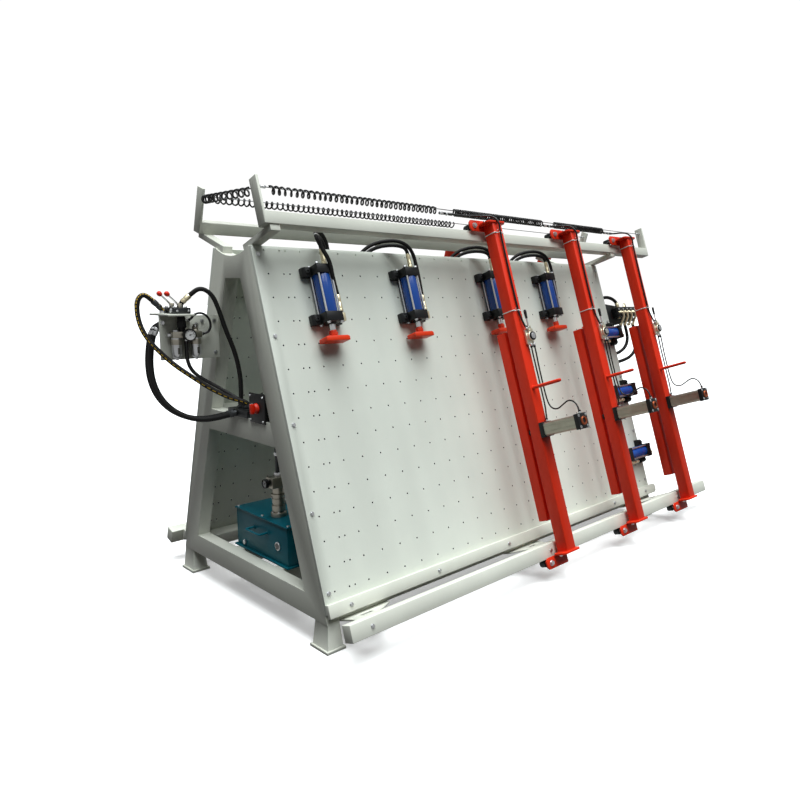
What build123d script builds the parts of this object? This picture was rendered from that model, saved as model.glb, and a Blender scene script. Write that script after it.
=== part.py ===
"""Double-sided inclined frame assembly press: an A-shaped frame with two drilled work panels,
hydraulic rams along the top and right edges, and sliding beams that press the work flat."""

import os
from math import cos, pi, radians, sin, tan

from build123d import *

os.makedirs("parts", exist_ok=True)

# Overall sizes, millimetres and degrees
LENGTH = 2920
DEPTH = 1680
HEIGHT = 1898
TILT = 18.2

# Guide rails, given as distance out from the panel face and distance up its slope
RAIL_FACE = 169
RAIL_DEPTH = 56
BOTTOM_RAIL_LOW = 67
BOTTOM_RAIL_HEIGHT = 70
TOP_RAIL_HEIGHT = 54
POST_RISE = 149
POST_THICK = 12
GUSSET_THICK = 8
GUSSET_ROOT = 240
GUSSET_TIP = 90
GUSSET_HOLE = 60
GUSSET_X = -240

# Work panels; each fixture hole stands for the whole grid of tapped holes
PANEL_LOW = 168
PANEL_GAP = 28
PANEL_THICK = 16
PANEL_WIDTH = 2485
END_INSET = 15
FIXTURE_X = -430
FIXTURE_U = 971
FIXTURE_HOLE = 10.2

# Welded end frames and stretchers
FRAME_THICK = 60
LEG_WIDTH = 120
FRAME_LOW = 115
BAR_HEIGHT = 98
MIDDLE_BAR_LOW = 790
CREST_HEIGHT = 134.8
NOTCH_DEPTH = 40
OPENING_LEAST = 20
ARM_WIDTH = 44
ARM_ROOT = 75
FOOT_LENGTH = 126
FOOT_WIDTH = 90
FOOT_PLATE = 12
FOOT_OVERHANG = 18
FOOT_SHOULDER = 4
TUBE = 60
UPPER_TUBE_LOW = 1600
MIDDLE_TUBE_LOW = 880
TANK_TUBE_Y = 180
TANK_TUBE_HEIGHT = 80

# Fence along the lower edge of each panel
FENCE_HEIGHT = 56
FENCE_THICK = 20
FENCE_DROP = 15
FENCE_OVERHANG = 46
FENCE_CORNER = 22

# Repeated round bars and bores are drawn with flats, so that the many copies stay light
FLATS = 8
BARREL_FLATS = FLATS + 6
HOSE_FLATS = 3
LAND_WIDTH = 0.3

# Hydraulic rams; lengths run in the direction of the push from the closed end
TOP_RAM_X = (-1170, -680, -90, 395)
SIDE_RAM_U = (438, 843, 1231)
TOP_RAM_END = 1612
SIDE_RAM_END = 1030
RAM_AXIS = 50
BARREL_OUTSIDE = 75
BARREL_BORE = 63
BARREL_LENGTH = 170
REAR_CAP = 42
FRONT_CAP = 45
CAP_SIZE = 84
LUG_WIDTH = 150
LUG_HEIGHT = 36
LUG_CORNER = 11
TIE_ROD = 9
TIE_SPACING = 64
ROD = 28
PISTON = 26
PISTON_START = 6
ROD_CLEARANCE = 0.5
PISTON_CLEARANCE = 0.5
ROD_SHOWN = 33
BOSS = 32
BOSS_LENGTH = 29
SHOE_LENGTH = 118
SHOE_WIDTH = 64
SHOE_THICK = 22
FITTING = 22
REAR_FITTING_SIDE = 20
REAR_FITTING_LENGTH = 75
SIDE_FITTING_LENGTH = 40
FITTING_OUT = 62
ELBOW = 24
FRONT_FITTING_LENGTH = 83
TRUNK = 24
HOSE = 18

# Sliding beams with their air cylinders, press bars and hand valves
FRONT_BEAM_X = (-183, 490, 1105)
REAR_BEAM_X = (232, 640, 1170)
BEAM = 70
BEAM_WALL = 4
BEAM_GAP = 21
BEAM_LOW = 85
BEAM_PLATE = 10
BEAM_PLATE_WIDTH = 136
BEAM_PLATE_MARGIN = 6
BEAM_PLATE_CORNER = 14
BEAM_RISE = 15
ROLLER = 40
ROLLER_WIDTH = 36
ROLLER_GAP = 0.4
ROLLER_SIDE = 95
AXLE = 14
BRACKET_THICK = 8
BRACKET_REACH = 130
BRACKET_HEIGHT = 58
HANDLE = 18
HANDLE_U = 927
HANDLE_LENGTH = 185
HANDLE_SIDE = 12
CYLINDER_U = 706
CYLINDER_CAP = 78
CYLINDER_CAP_LENGTH = 27
CYLINDER_BODY = 70
CYLINDER_CORNER = 7
CYLINDER_BODY_LENGTH = 200
CYLINDER_BORE = 60
CUSHION_RING = 44
CUSHION_LENGTH = 8
AIR_ROD = 25
AIR_PISTON = 22
BAR_WIDTH = 50
BAR_DEPTH = 60
BAR_GAP = 25
BAR_LOW = 247
BAR_LENGTH = 998
VALVE_U = 1150
VALVE_HEIGHT = 80
VALVE_WIDTH = 50
VALVE_DEPTH = 45
VALVE_SIDE = 34
CHEEK = 4
CHEEK_HEIGHT = 18
LEVER_HUB = 14
LEVER_HUB_WIDTH = 12
LEVER_GAP = 0.4
LEVER_LIFT = 2
LEVER_ROD = 8
LEVER_REACH = 46
GRIP = 16
GRIP_LENGTH = 48

# Steel wire ropes, and the spiral air hoses that hang on them
WIRE = 5
WIRE_DROP = 37.4
WIRE_SLEEVE = 14
WIRE_SLEEVE_LENGTH = 40
SPIRAL_TUBE = 8
SPIRAL_RADIUS = 17
SPIRAL_SLACK = 0.5
SPIRAL_TURNS = (4.5, 3.5, 2.5)
REAR_SPIRAL_TURNS = 2.5
CROSS_SPIRAL_TURNS = 2.5
TEE = 16
TEE_LENGTH = 88
TEE_SIDE = (-234, -72, -60)
TEE_DROP = 11
AIR_HOSE = 10
BRANCH_HOSE = 8

# Power unit in the lower bay
TANK_GAP = 10
TANK_LENGTH = 375
TANK_WIDTH = 460
TANK_HEIGHT = 184
TANK_FLANGE = 8
TANK_FLANGE_MARGIN = 10
TANK_BOW = 10
TANK_BOW_WIDTH = 120
TANK_BOW_REACH = 45
BREATHER = 58
BREATHER_HEIGHT = 26
BREATHER_Y = 110
PUMP_SIDE = 70
PUMP_Y = -45
PUMP = 54
PUMP_HEIGHT = 118
PUMP_RING = 74
PUMP_RING_HEIGHT = 20
PUMP_BLOCK_LENGTH = 90
PUMP_BLOCK_WIDTH = 60
PUMP_BLOCK_HEIGHT = 50
PUMP_PIPE = 18
PUMP_PIPE_HEIGHT = 130
GAUGE = 42
GAUGE_DEPTH = 24

# Controls on the left end
PLATE_LENGTH = 258
PLATE_LOW = 1140
PLATE_HEIGHT = 190
PLATE_THICK = 8
PLATE_Y = 150
SHELF_LENGTH = 112
SHELF_WIDTH = 190
SHELF_Y = 155
VALVE_BLOCK_LENGTH = 70
VALVE_BLOCK_WIDTH = 126
VALVE_BLOCK_HEIGHT = 26
SPOOL_SPACING = 76
BALL_LEVER_ANGLE = 45
BALL_LEVER_LENGTH = 58
BALL = 22
BALL_CHAMFER = 0.28  # share of the knob's diameter
FRL_X = -1646
FRL_BOWL = 44
FRL_BOWL_HEIGHT = 95
FRL_SPACING = 84
FRL_BODY_HEIGHT = 28
FRL_BODY_DEPTH = 46
FRL_NECK = 15
FRL_GAUGE = 52
REGULATOR_SIDE = 27
REGULATOR_KNOB = 36
REGULATOR_HEIGHT = 48
SWITCH_Y = -170
SWITCH_BOX = 108
SWITCH_DEPTH = 48
SWITCH_PLATE = 128
SWITCH_PLATE_THICK = 6
SWITCH_KNOB = 46
SWITCH_KNOB_DEPTH = 30
KNOB_GAP = 0.4
BULKHEAD_LENGTH = 64
BULKHEAD_WIDTH = 170
BULKHEAD_HEIGHT = 30
SUPPLY_HOSE = 24
CONTROL_HOSE = 20
AIR_LINE = 16
SUPPLY_BLOCK_DEPTH = 62

# Valve manifold to the right of the front panel
MANIFOLD_X = 1120
MANIFOLD_LENGTH = 210
MANIFOLD_U = 1345
MANIFOLD_HEIGHT = 65
MANIFOLD_DEPTH = 56
MANIFOLD_OUTLET = 26
MANIFOLD_OUTLET_LENGTH = 60
MANIFOLD_PITCH = 50
MANIFOLD_PLATE = 8
MANIFOLD_PLATE_LENGTH = 340
MANIFOLD_HOSE = 22

# Worked-out places; lengthways places count from the middle of the rails
S = sin(radians(TILT))
C = cos(radians(TILT))
RAIL_END = LENGTH / 2
POST_TOP = (HEIGHT - RAIL_FACE * S) / C
TOP_RAIL_HIGH = POST_TOP - POST_RISE
TOP_RAIL_LOW = TOP_RAIL_HIGH - TOP_RAIL_HEIGHT
BOTTOM_RAIL_HIGH = BOTTOM_RAIL_LOW + BOTTOM_RAIL_HEIGHT
RAIL_BACK = RAIL_FACE - RAIL_DEPTH
RAIL_MIDDLE = RAIL_FACE - RAIL_DEPTH / 2
PANEL_Y = DEPTH / 2 - RAIL_FACE * C + BOTTOM_RAIL_LOW * S
PANEL_HIGH = TOP_RAIL_LOW - PANEL_GAP
PANEL_LEFT = -RAIL_END + END_INSET
PANEL_RIGHT = PANEL_LEFT + PANEL_WIDTH
MIDDLE = (PLATE_LENGTH - END_INSET) / 2
FRAME_TOP = PANEL_HIGH * C
LEGS_NEAR = (PANEL_Y - (PANEL_THICK + LEG_WIDTH) / C - OPENING_LEAST) / tan(radians(TILT))
UPPER_OPENING_TOP = min(FRAME_TOP - CREST_HEIGHT, LEGS_NEAR)
FRAME_INSIDE = PANEL_LEFT + FRAME_THICK
RIGHT_FRAME = PANEL_RIGHT - FRAME_THICK
FRAME_BAR_TOP = FRAME_LOW + BAR_HEIGHT
MIDDLE_BAR_TOP = MIDDLE_BAR_LOW + BAR_HEIGHT
LOWER_TUBE_LOW = PANEL_LOW - TUBE / 2 - 5
FRONT_CAP_START = REAR_CAP + BARREL_LENGTH
RAM_FRONT = FRONT_CAP_START + FRONT_CAP
BOSS_START = RAM_FRONT + ROD_SHOWN
SHOE_START = BOSS_START + BOSS_LENGTH
PISTON_LOW = REAR_CAP + PISTON_START
BEAM_BACK = RAIL_FACE + BEAM_GAP
BEAM_FRONT = BEAM_BACK + BEAM
BEAM_HIGH = TOP_RAIL_HIGH + BEAM_RISE
BAR_FRONT = BEAM_BACK - BAR_GAP
BAR_BACK = BAR_FRONT - BAR_DEPTH
BODY_START = BEAM_FRONT + CYLINDER_CAP_LENGTH
BODY_END = BODY_START + CYLINDER_BODY_LENGTH
CYLINDER_TOP = CYLINDER_U + CYLINDER_CAP / 2
VALVE_TOP = VALVE_U + VALVE_HEIGHT
LEVER_U = VALVE_TOP + LEVER_HUB / 2 + LEVER_LIFT
LEVER_N = BEAM_FRONT + VALVE_DEPTH / 2
CHEEK_SIDE = LEVER_HUB_WIDTH / 2 + LEVER_GAP + CHEEK / 2
TRUNK_LOW = UPPER_TUBE_LOW + TUBE
WIRE_U = POST_TOP - WIRE_DROP
SPIRAL_U = WIRE_U - SPIRAL_RADIUS + (SPIRAL_TUBE + WIRE) / 2 + SPIRAL_SLACK
POST_MIDDLE = -RAIL_END + POST_THICK / 2
CROSS_WIRE_Z = WIRE_U * C + RAIL_BACK * S
CROSS_WIRE_HALF = PANEL_Y - WIRE_U * S + RAIL_BACK * C
TANK_X = FRAME_INSIDE + TANK_GAP + TANK_FLANGE_MARGIN
TANK_TOP = FRAME_BAR_TOP + TANK_FLANGE + TANK_HEIGHT
PUMP_X = TANK_X + PUMP_SIDE
PUMP_TOP = TANK_TOP + PUMP_RING_HEIGHT + PUMP_HEIGHT
PLATE_LEFT = PANEL_LEFT - PLATE_LENGTH
SHELF_TOP = PLATE_LOW + PLATE_HEIGHT + PLATE_THICK
BLOCK_TOP = SHELF_TOP + VALVE_BLOCK_HEIGHT
BLOCK_X = PLATE_LEFT + SHELF_LENGTH - VALVE_BLOCK_LENGTH / 2
BALL_LEVER_X = BLOCK_X - 3
BALL_LEVER_Z = BLOCK_TOP + LEVER_HUB / 2 + LEVER_LIFT
FRL_Y = PLATE_Y - FRL_BODY_DEPTH / 2
REGULATOR_X = FRL_X + REGULATOR_SIDE
FRL_RIGHT = FRL_X + FRL_SPACING + FRL_BOWL / 2
BOWL_TOP = PLATE_LOW + FRL_BOWL_HEIGHT
FRL_TOP = BOWL_TOP + FRL_BODY_HEIGHT
KNOB_LOW = FRL_TOP + FRL_NECK + KNOB_GAP
SWITCH_Z = MIDDLE_BAR_TOP + SWITCH_BOX / 2
SWITCH_FACE = PANEL_LEFT - SWITCH_PLATE_THICK
BULKHEAD_TOP = MIDDLE_BAR_TOP + BULKHEAD_HEIGHT
BULKHEAD_LEFT = FRAME_INSIDE - BULKHEAD_LENGTH - 4


def place(x, u, n):
    """A point of the front side: along the length, up the slope, out from the panel face."""
    return (x + MIDDLE, -PANEL_Y + u * S - n * C, u * C + n * S)


def spot(x, y, z):
    """A point given along the length, across the machine and above the floor."""
    return (x + MIDDLE, y, z)


def face_plane(n=0):
    """A plane parallel to the front panel; its own axes run along the length and up the slope."""
    return Plane(origin=place(0, 0, n), x_dir=(1, 0, 0), z_dir=(0, -C, S))


def cross_plane(x):
    """A plane across the length; its own axes run up the slope and out from the panel."""
    return Plane(origin=place(x, 0, 0), x_dir=(0, S, C), z_dir=(1, 0, 0))


def down_plane(x, u):
    """A plane square to the slope, facing down it; its own axes run along the length and outwards."""
    return Plane(origin=place(x, u, 0), x_dir=(1, 0, 0), z_dir=(0, -S, -C))


def left_plane(x, u):
    """A plane across the length, facing left; its own axes run down the slope and outwards."""
    return Plane(origin=place(x, u, 0), x_dir=(0, -S, -C), z_dir=(-1, 0, 0))


def level_plane(z):
    """A level plane; its own axes run along the length and towards the back."""
    return Plane(origin=spot(0, 0, z))


def end_plane(x):
    """An upright plane across the length, facing right; its own axes run back and up."""
    return Plane(origin=spot(x, 0, 0), x_dir=(0, 1, 0), z_dir=(1, 0, 0))


def front_plane(y):
    """An upright plane facing the front; its own axes run along the length and up."""
    return Plane(origin=spot(0, y, 0), x_dir=(1, 0, 0), z_dir=(0, -1, 0))


def bar_profile(diameter, clearance=0, mode=Mode.ADD):
    """Section of a repeated round bar, or of the bore round it at an even clearance."""
    RegularPolygon(diameter / 2 + clearance / cos(pi / FLATS), FLATS, mode=mode)


def eye_profile(diameter, flats):
    """Section of a turning piece: flats, with a true round land on two sides about its axis."""
    RegularPolygon(diameter / 2, flats)
    disc = Circle(diameter / 2, mode=Mode.PRIVATE)
    add(disc & Rectangle(diameter, diameter * LAND_WIDTH, mode=Mode.PRIVATE))


def tube_area(diameter):
    """Area of a hose's section."""
    return HOSE_FLATS * (diameter / 2) ** 2 * sin(2 * pi / HOSE_FLATS) / 2


def save(solid, name):
    """Label a finished sub-part and write its file."""
    solid.label = name
    export_step(solid, f"parts/{name}.step")


def half_width(z):
    """Half the width of the end frame at a height, up to the back of the panels."""
    return PANEL_Y - z * tan(radians(TILT)) - PANEL_THICK / C


def inner_half(z):
    """Half the clear width between the legs at a height."""
    return half_width(z) - LEG_WIDTH / C


def opening(low, high):
    """Corner points of a trapezoidal opening between the legs."""
    return [
        (-inner_half(low), low),
        (inner_half(low), low),
        (inner_half(high), high),
        (-inner_half(high), high),
    ]


def end_frame(x, foot_x):
    """One welded A-frame with its feet and the two arms that carry the top rails."""
    foot_y = half_width(FRAME_LOW) + FOOT_OVERHANG - FOOT_LENGTH / 2
    with BuildPart() as frame:
        with BuildSketch(end_plane(x)):
            with BuildLine():
                Polyline(
                    (-half_width(FRAME_TOP), FRAME_TOP),
                    (-half_width(FRAME_LOW), FRAME_LOW),
                    (half_width(FRAME_LOW), FRAME_LOW),
                    (half_width(FRAME_TOP), FRAME_TOP),
                )
                ThreePointArc(
                    (half_width(FRAME_TOP), FRAME_TOP),
                    (0, FRAME_TOP - NOTCH_DEPTH),
                    (-half_width(FRAME_TOP), FRAME_TOP),
                )
            make_face()
            for low, high in ((FRAME_BAR_TOP, MIDDLE_BAR_LOW), (MIDDLE_BAR_TOP, UPPER_OPENING_TOP)):
                with BuildLine():
                    Polyline(*opening(low, high), close=True)
                make_face(mode=Mode.SUBTRACT)
        extrude(amount=FRAME_THICK)
        with BuildSketch(cross_plane(x + FRAME_THICK / 2 - ARM_WIDTH / 2)):
            with BuildLine():
                Polyline(
                    (PANEL_HIGH - 25, -ARM_ROOT),
                    (PANEL_HIGH - 25, -PANEL_THICK - 1),
                    (PANEL_HIGH + 2, -PANEL_THICK - 1),
                    (PANEL_HIGH + 2, RAIL_FACE - 6),
                    (TOP_RAIL_LOW, RAIL_FACE - 6),
                    (TOP_RAIL_LOW, -ARM_ROOT),
                    close=True,
                )
            make_face()
        extrude(amount=ARM_WIDTH)
        with BuildSketch(level_plane(FRAME_LOW)):
            with Locations((x + FRAME_THICK / 2, -foot_y)):
                Rectangle(FRAME_THICK - FOOT_SHOULDER, FOOT_LENGTH - 2 * FOOT_OVERHANG)
        with BuildSketch(level_plane(FOOT_PLATE)):
            with Locations((foot_x, -foot_y)):
                Rectangle(FOOT_WIDTH - 16, FOOT_LENGTH - 16)
        loft()
        with BuildSketch(level_plane(0)):
            with Locations((foot_x, -foot_y)):
                Rectangle(FOOT_WIDTH, FOOT_LENGTH)
        extrude(amount=FOOT_PLATE)
        mirror(about=Plane.XZ)
    return frame.part


save(end_frame(PANEL_LEFT, -RAIL_END + FOOT_WIDTH / 2), "left_end_frame")
save(end_frame(RIGHT_FRAME, RIGHT_FRAME + FRAME_THICK / 2), "right_end_frame")

# Square tubes behind each panel, and the two that carry the oil tank
with BuildPart() as frame_stretchers:
    with BuildSketch(cross_plane(FRAME_INSIDE)):
        for low in (LOWER_TUBE_LOW, MIDDLE_TUBE_LOW, UPPER_TUBE_LOW):
            with Locations((low + TUBE / 2, -PANEL_THICK - TUBE / 2)):
                Rectangle(TUBE, TUBE)
    extrude(amount=RIGHT_FRAME - FRAME_INSIDE)
    with BuildSketch(end_plane(FRAME_INSIDE)):
        with Locations((-TANK_TUBE_Y, FRAME_BAR_TOP - TANK_TUBE_HEIGHT / 2)):
            Rectangle(TUBE, TANK_TUBE_HEIGHT)
    extrude(amount=RIGHT_FRAME - FRAME_INSIDE)
    mirror(about=Plane.XZ)
save(frame_stretchers.part, "frame_stretchers")

# Work panel with one of its tapped fixture holes
with BuildPart() as work_panel:
    with BuildSketch(face_plane(-PANEL_THICK)):
        with Locations((PANEL_LEFT + PANEL_WIDTH / 2, (PANEL_LOW + PANEL_HIGH) / 2)):
            Rectangle(PANEL_WIDTH, PANEL_HIGH - PANEL_LOW)
        with Locations((FIXTURE_X, FIXTURE_U)):
            Circle(FIXTURE_HOLE / 2, mode=Mode.SUBTRACT)
    extrude(amount=PANEL_THICK)
save(work_panel.part, "front_work_panel")
save(mirror(work_panel.part, about=Plane.XZ), "rear_work_panel")

# Flat bar along each panel's lower edge, with a rounded right end
with BuildPart() as bottom_fences:
    with BuildSketch(face_plane()):
        with Locations((PANEL_LEFT, PANEL_LOW - FENCE_DROP)):
            Rectangle(PANEL_WIDTH + FENCE_OVERHANG, FENCE_HEIGHT, align=(Align.MIN, Align.MIN))
        fillet(vertices().group_by(Axis.X)[-1], radius=FENCE_CORNER)
    extrude(amount=FENCE_THICK)
    mirror(about=Plane.XZ)
save(bottom_fences.part, "bottom_fences")

# Lower guide rails on level gussets with a cut-out
with BuildPart() as bottom_guide_rails:
    with BuildSketch(cross_plane(-RAIL_END)):
        with Locations((BOTTOM_RAIL_LOW + BOTTOM_RAIL_HEIGHT / 2, RAIL_MIDDLE)):
            Rectangle(BOTTOM_RAIL_HEIGHT, RAIL_DEPTH)
    extrude(amount=LENGTH)
    for root, tip in (
        (FRAME_INSIDE + 5, FRAME_INSIDE + 5),
        (GUSSET_X - GUSSET_ROOT / 2, GUSSET_X - GUSSET_TIP / 2),
        (RIGHT_FRAME - 5 - GUSSET_ROOT, RIGHT_FRAME + FRAME_THICK),
    ):
        with BuildSketch(down_plane(0, LOWER_TUBE_LOW)):
            with BuildLine():
                Polyline(
                    (root, -PANEL_THICK - TUBE),
                    (root + GUSSET_ROOT, -PANEL_THICK - TUBE),
                    (root + GUSSET_ROOT, 0),
                    (tip + GUSSET_TIP, RAIL_BACK),
                    (tip, RAIL_BACK),
                    (root, 0),
                    close=True,
                )
            make_face()
            hole_x = (root + tip) / 2 + (GUSSET_ROOT + GUSSET_TIP) / 4
            with Locations((hole_x, RAIL_BACK * 0.4)):
                Rectangle(GUSSET_HOLE, GUSSET_HOLE * 0.6, mode=Mode.SUBTRACT)
        extrude(amount=GUSSET_THICK)
    mirror(about=Plane.XZ)
save(bottom_guide_rails.part, "bottom_guide_rails")

# Upper guide rails with a flat post at each end
with BuildPart() as top_guide_rails:
    with BuildSketch(cross_plane(-RAIL_END)):
        with Locations((TOP_RAIL_LOW + TOP_RAIL_HEIGHT / 2, RAIL_MIDDLE)):
            Rectangle(TOP_RAIL_HEIGHT, RAIL_DEPTH)
    extrude(amount=LENGTH)
    for x in (-RAIL_END, RAIL_END - POST_THICK):
        with BuildSketch(cross_plane(x)):
            with Locations((TOP_RAIL_LOW, RAIL_MIDDLE)):
                Rectangle(POST_TOP - TOP_RAIL_LOW, RAIL_DEPTH, align=(Align.MIN, Align.CENTER))
        extrude(amount=POST_THICK)
    mirror(about=Plane.XZ)
save(top_guide_rails.part, "top_guide_rails")

# Wire ropes between the posts, with a sleeve at each end
wire_start = -RAIL_END + POST_THICK
with BuildPart() as wire_ropes:
    with BuildSketch(cross_plane(wire_start)):
        with Locations((WIRE_U, RAIL_MIDDLE)):
            RegularPolygon(WIRE / 2, 4)
    extrude(amount=-2 * wire_start)
    for x in (wire_start, -wire_start - WIRE_SLEEVE_LENGTH):
        with BuildSketch(cross_plane(x)):
            with Locations((WIRE_U, RAIL_MIDDLE)):
                bar_profile(WIRE_SLEEVE)
        extrude(amount=WIRE_SLEEVE_LENGTH)
    mirror(about=Plane.XZ)
    with BuildPart(mode=Mode.PRIVATE) as cross_wire:
        with BuildSketch(front_plane(0)):
            with Locations((POST_MIDDLE, CROSS_WIRE_Z)):
                RegularPolygon(WIRE / 2, 4)
        extrude(amount=CROSS_WIRE_HALF + WIRE)
        split(bisect_by=face_plane(RAIL_BACK), keep=Keep.BOTTOM)
        mirror(about=Plane.XZ)
    add(cross_wire.part)
save(wire_ropes.part, "wire_ropes")

TOP_RAM_PLANES = [down_plane(x, TOP_RAM_END) for x in TOP_RAM_X]
SIDE_RAM_PLANES = [left_plane(SIDE_RAM_END, u) for u in SIDE_RAM_U]
RAM_PLANES = TOP_RAM_PLANES + SIDE_RAM_PLANES

# Ram barrels, bored through for the pistons
with BuildPart() as ram_barrels:
    for plane in RAM_PLANES:
        with BuildSketch(plane.offset(REAR_CAP)):
            with Locations((0, RAM_AXIS)):
                RegularPolygon(BARREL_OUTSIDE / 2, BARREL_FLATS)
                bar_profile(BARREL_BORE, mode=Mode.SUBTRACT)
        extrude(amount=BARREL_LENGTH)
    mirror(about=Plane.XZ)
save(ram_barrels.part, "ram_barrels")


def cap_outline():
    """Square ram cap standing on two side lugs."""
    with Locations((0, LUG_HEIGHT / 2)):
        Rectangle(LUG_WIDTH, LUG_HEIGHT)
    chamfer(vertices().group_by(Axis.Y)[-1], length=LUG_CORNER)
    with Locations((0, RAM_AXIS)):
        Rectangle(CAP_SIZE, CAP_SIZE)


# Ram end caps; the front ones are bored for the rods
with BuildPart() as ram_end_caps:
    for plane in RAM_PLANES:
        with BuildSketch(plane):
            cap_outline()
        extrude(amount=REAR_CAP)
        with BuildSketch(plane.offset(FRONT_CAP_START)):
            cap_outline()
            with Locations((0, RAM_AXIS)):
                bar_profile(ROD, ROD_CLEARANCE, Mode.SUBTRACT)
        extrude(amount=FRONT_CAP)
    mirror(about=Plane.XZ)
save(ram_end_caps.part, "ram_end_caps")

# Four tie rods along each barrel
with BuildPart() as ram_tie_rods:
    for plane in RAM_PLANES:
        with BuildSketch(plane.offset(REAR_CAP)):
            with Locations((0, RAM_AXIS)):
                with GridLocations(TIE_SPACING, TIE_SPACING, 2, 2):
                    Rectangle(TIE_ROD, TIE_ROD)
        extrude(amount=BARREL_LENGTH)
    mirror(about=Plane.XZ)
save(ram_tie_rods.part, "ram_tie_rods")


def rams(planes):
    """Piston, rod and T-shaped shoe of each ram on the given planes."""
    with BuildPart() as moving:
        for plane in planes:
            with BuildSketch(plane.offset(PISTON_LOW)):
                with Locations((0, RAM_AXIS)):
                    bar_profile(BARREL_BORE, -PISTON_CLEARANCE)
            extrude(amount=PISTON)
            with BuildSketch(plane.offset(PISTON_LOW + PISTON)):
                with Locations((0, RAM_AXIS)):
                    bar_profile(ROD)
            extrude(amount=BOSS_START - PISTON_LOW - PISTON)
            with BuildSketch(plane.offset(BOSS_START)):
                with Locations((0, RAM_AXIS)):
                    bar_profile(BOSS)
            extrude(amount=BOSS_LENGTH)
            with BuildSketch(plane.offset(SHOE_START)):
                with Locations((0, RAM_AXIS)):
                    Rectangle(SHOE_LENGTH, SHOE_WIDTH)
            extrude(amount=SHOE_THICK)
    return moving.part


for number, plane in enumerate(TOP_RAM_PLANES, 1):
    save(rams([plane]), f"front_top_ram_{number}")
for number, plane in enumerate(SIDE_RAM_PLANES, 1):
    save(rams([plane]), f"front_side_ram_{number}")
save(mirror(rams(TOP_RAM_PLANES), about=Plane.XZ), "rear_top_rams")
save(mirror(rams(SIDE_RAM_PLANES), about=Plane.XZ), "rear_side_rams")

# Port fittings of the front rams, the two trunk bars behind the panel, the right manifold,
# and the bulkhead block where hoses enter the left end frame
with BuildPart() as hose_fittings:
    for plane in RAM_PLANES:
        with BuildSketch(plane):
            with Locations((REAR_FITTING_SIDE, FITTING_OUT)):
                RegularPolygon(FITTING / 2, 6)
        extrude(amount=-SIDE_FITTING_LENGTH if plane in SIDE_RAM_PLANES else -REAR_FITTING_LENGTH)
        with BuildSketch(plane.offset(FRONT_CAP_START + 4)):
            with Locations((CAP_SIZE / 2 + ELBOW / 2, FITTING_OUT)):
                Rectangle(ELBOW, ELBOW)
        extrude(amount=FRONT_CAP - 8)
        with BuildSketch(plane.offset(FRONT_CAP_START + 4)):
            with Locations((CAP_SIZE / 2 + ELBOW / 2, FITTING_OUT)):
                RegularPolygon(FITTING / 2, 6)
        extrude(amount=-FRONT_FITTING_LENGTH)
    with BuildSketch(cross_plane(TOP_RAM_X[0] - 40)):
        for step in (0.6, 1.75):
            with Locations((TRUNK_LOW + TRUNK / 2, -PANEL_THICK - TRUNK * step)):
                Rectangle(TRUNK, TRUNK)
    extrude(amount=RIGHT_FRAME - TOP_RAM_X[0] + 40)
    with BuildSketch(face_plane(-PANEL_THICK - MANIFOLD_PLATE)):
        with BuildLine():
            Polyline(
                (PANEL_RIGHT, MANIFOLD_U - 55),
                (PANEL_RIGHT, MANIFOLD_U + MANIFOLD_HEIGHT + 40),
                (PANEL_RIGHT + MANIFOLD_PLATE_LENGTH, MANIFOLD_U + MANIFOLD_HEIGHT),
                (PANEL_RIGHT + MANIFOLD_PLATE_LENGTH, MANIFOLD_U - 20),
                close=True,
            )
        make_face()
    extrude(amount=MANIFOLD_PLATE)
    with BuildSketch(face_plane(-PANEL_THICK)):
        with Locations((MANIFOLD_X, MANIFOLD_U)):
            Rectangle(MANIFOLD_LENGTH, MANIFOLD_HEIGHT, align=(Align.MIN, Align.MIN))
    extrude(amount=MANIFOLD_DEPTH)
    with BuildSketch(down_plane(MANIFOLD_X + MANIFOLD_LENGTH / 2, MANIFOLD_U)):
        with Locations((0, MANIFOLD_DEPTH / 2 - PANEL_THICK)):
            with GridLocations(MANIFOLD_PITCH, 1, 4, 1):
                RegularPolygon(MANIFOLD_OUTLET / 2, 6)
    extrude(amount=MANIFOLD_OUTLET_LENGTH)
    with BuildSketch(level_plane(MIDDLE_BAR_TOP)):
        with Locations((BULKHEAD_LEFT, 0)):
            Rectangle(BULKHEAD_LENGTH, BULKHEAD_WIDTH, align=(Align.MIN, Align.CENTER))
    extrude(amount=BULKHEAD_HEIGHT)
save(hose_fittings.part, "hose_fittings")


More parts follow.
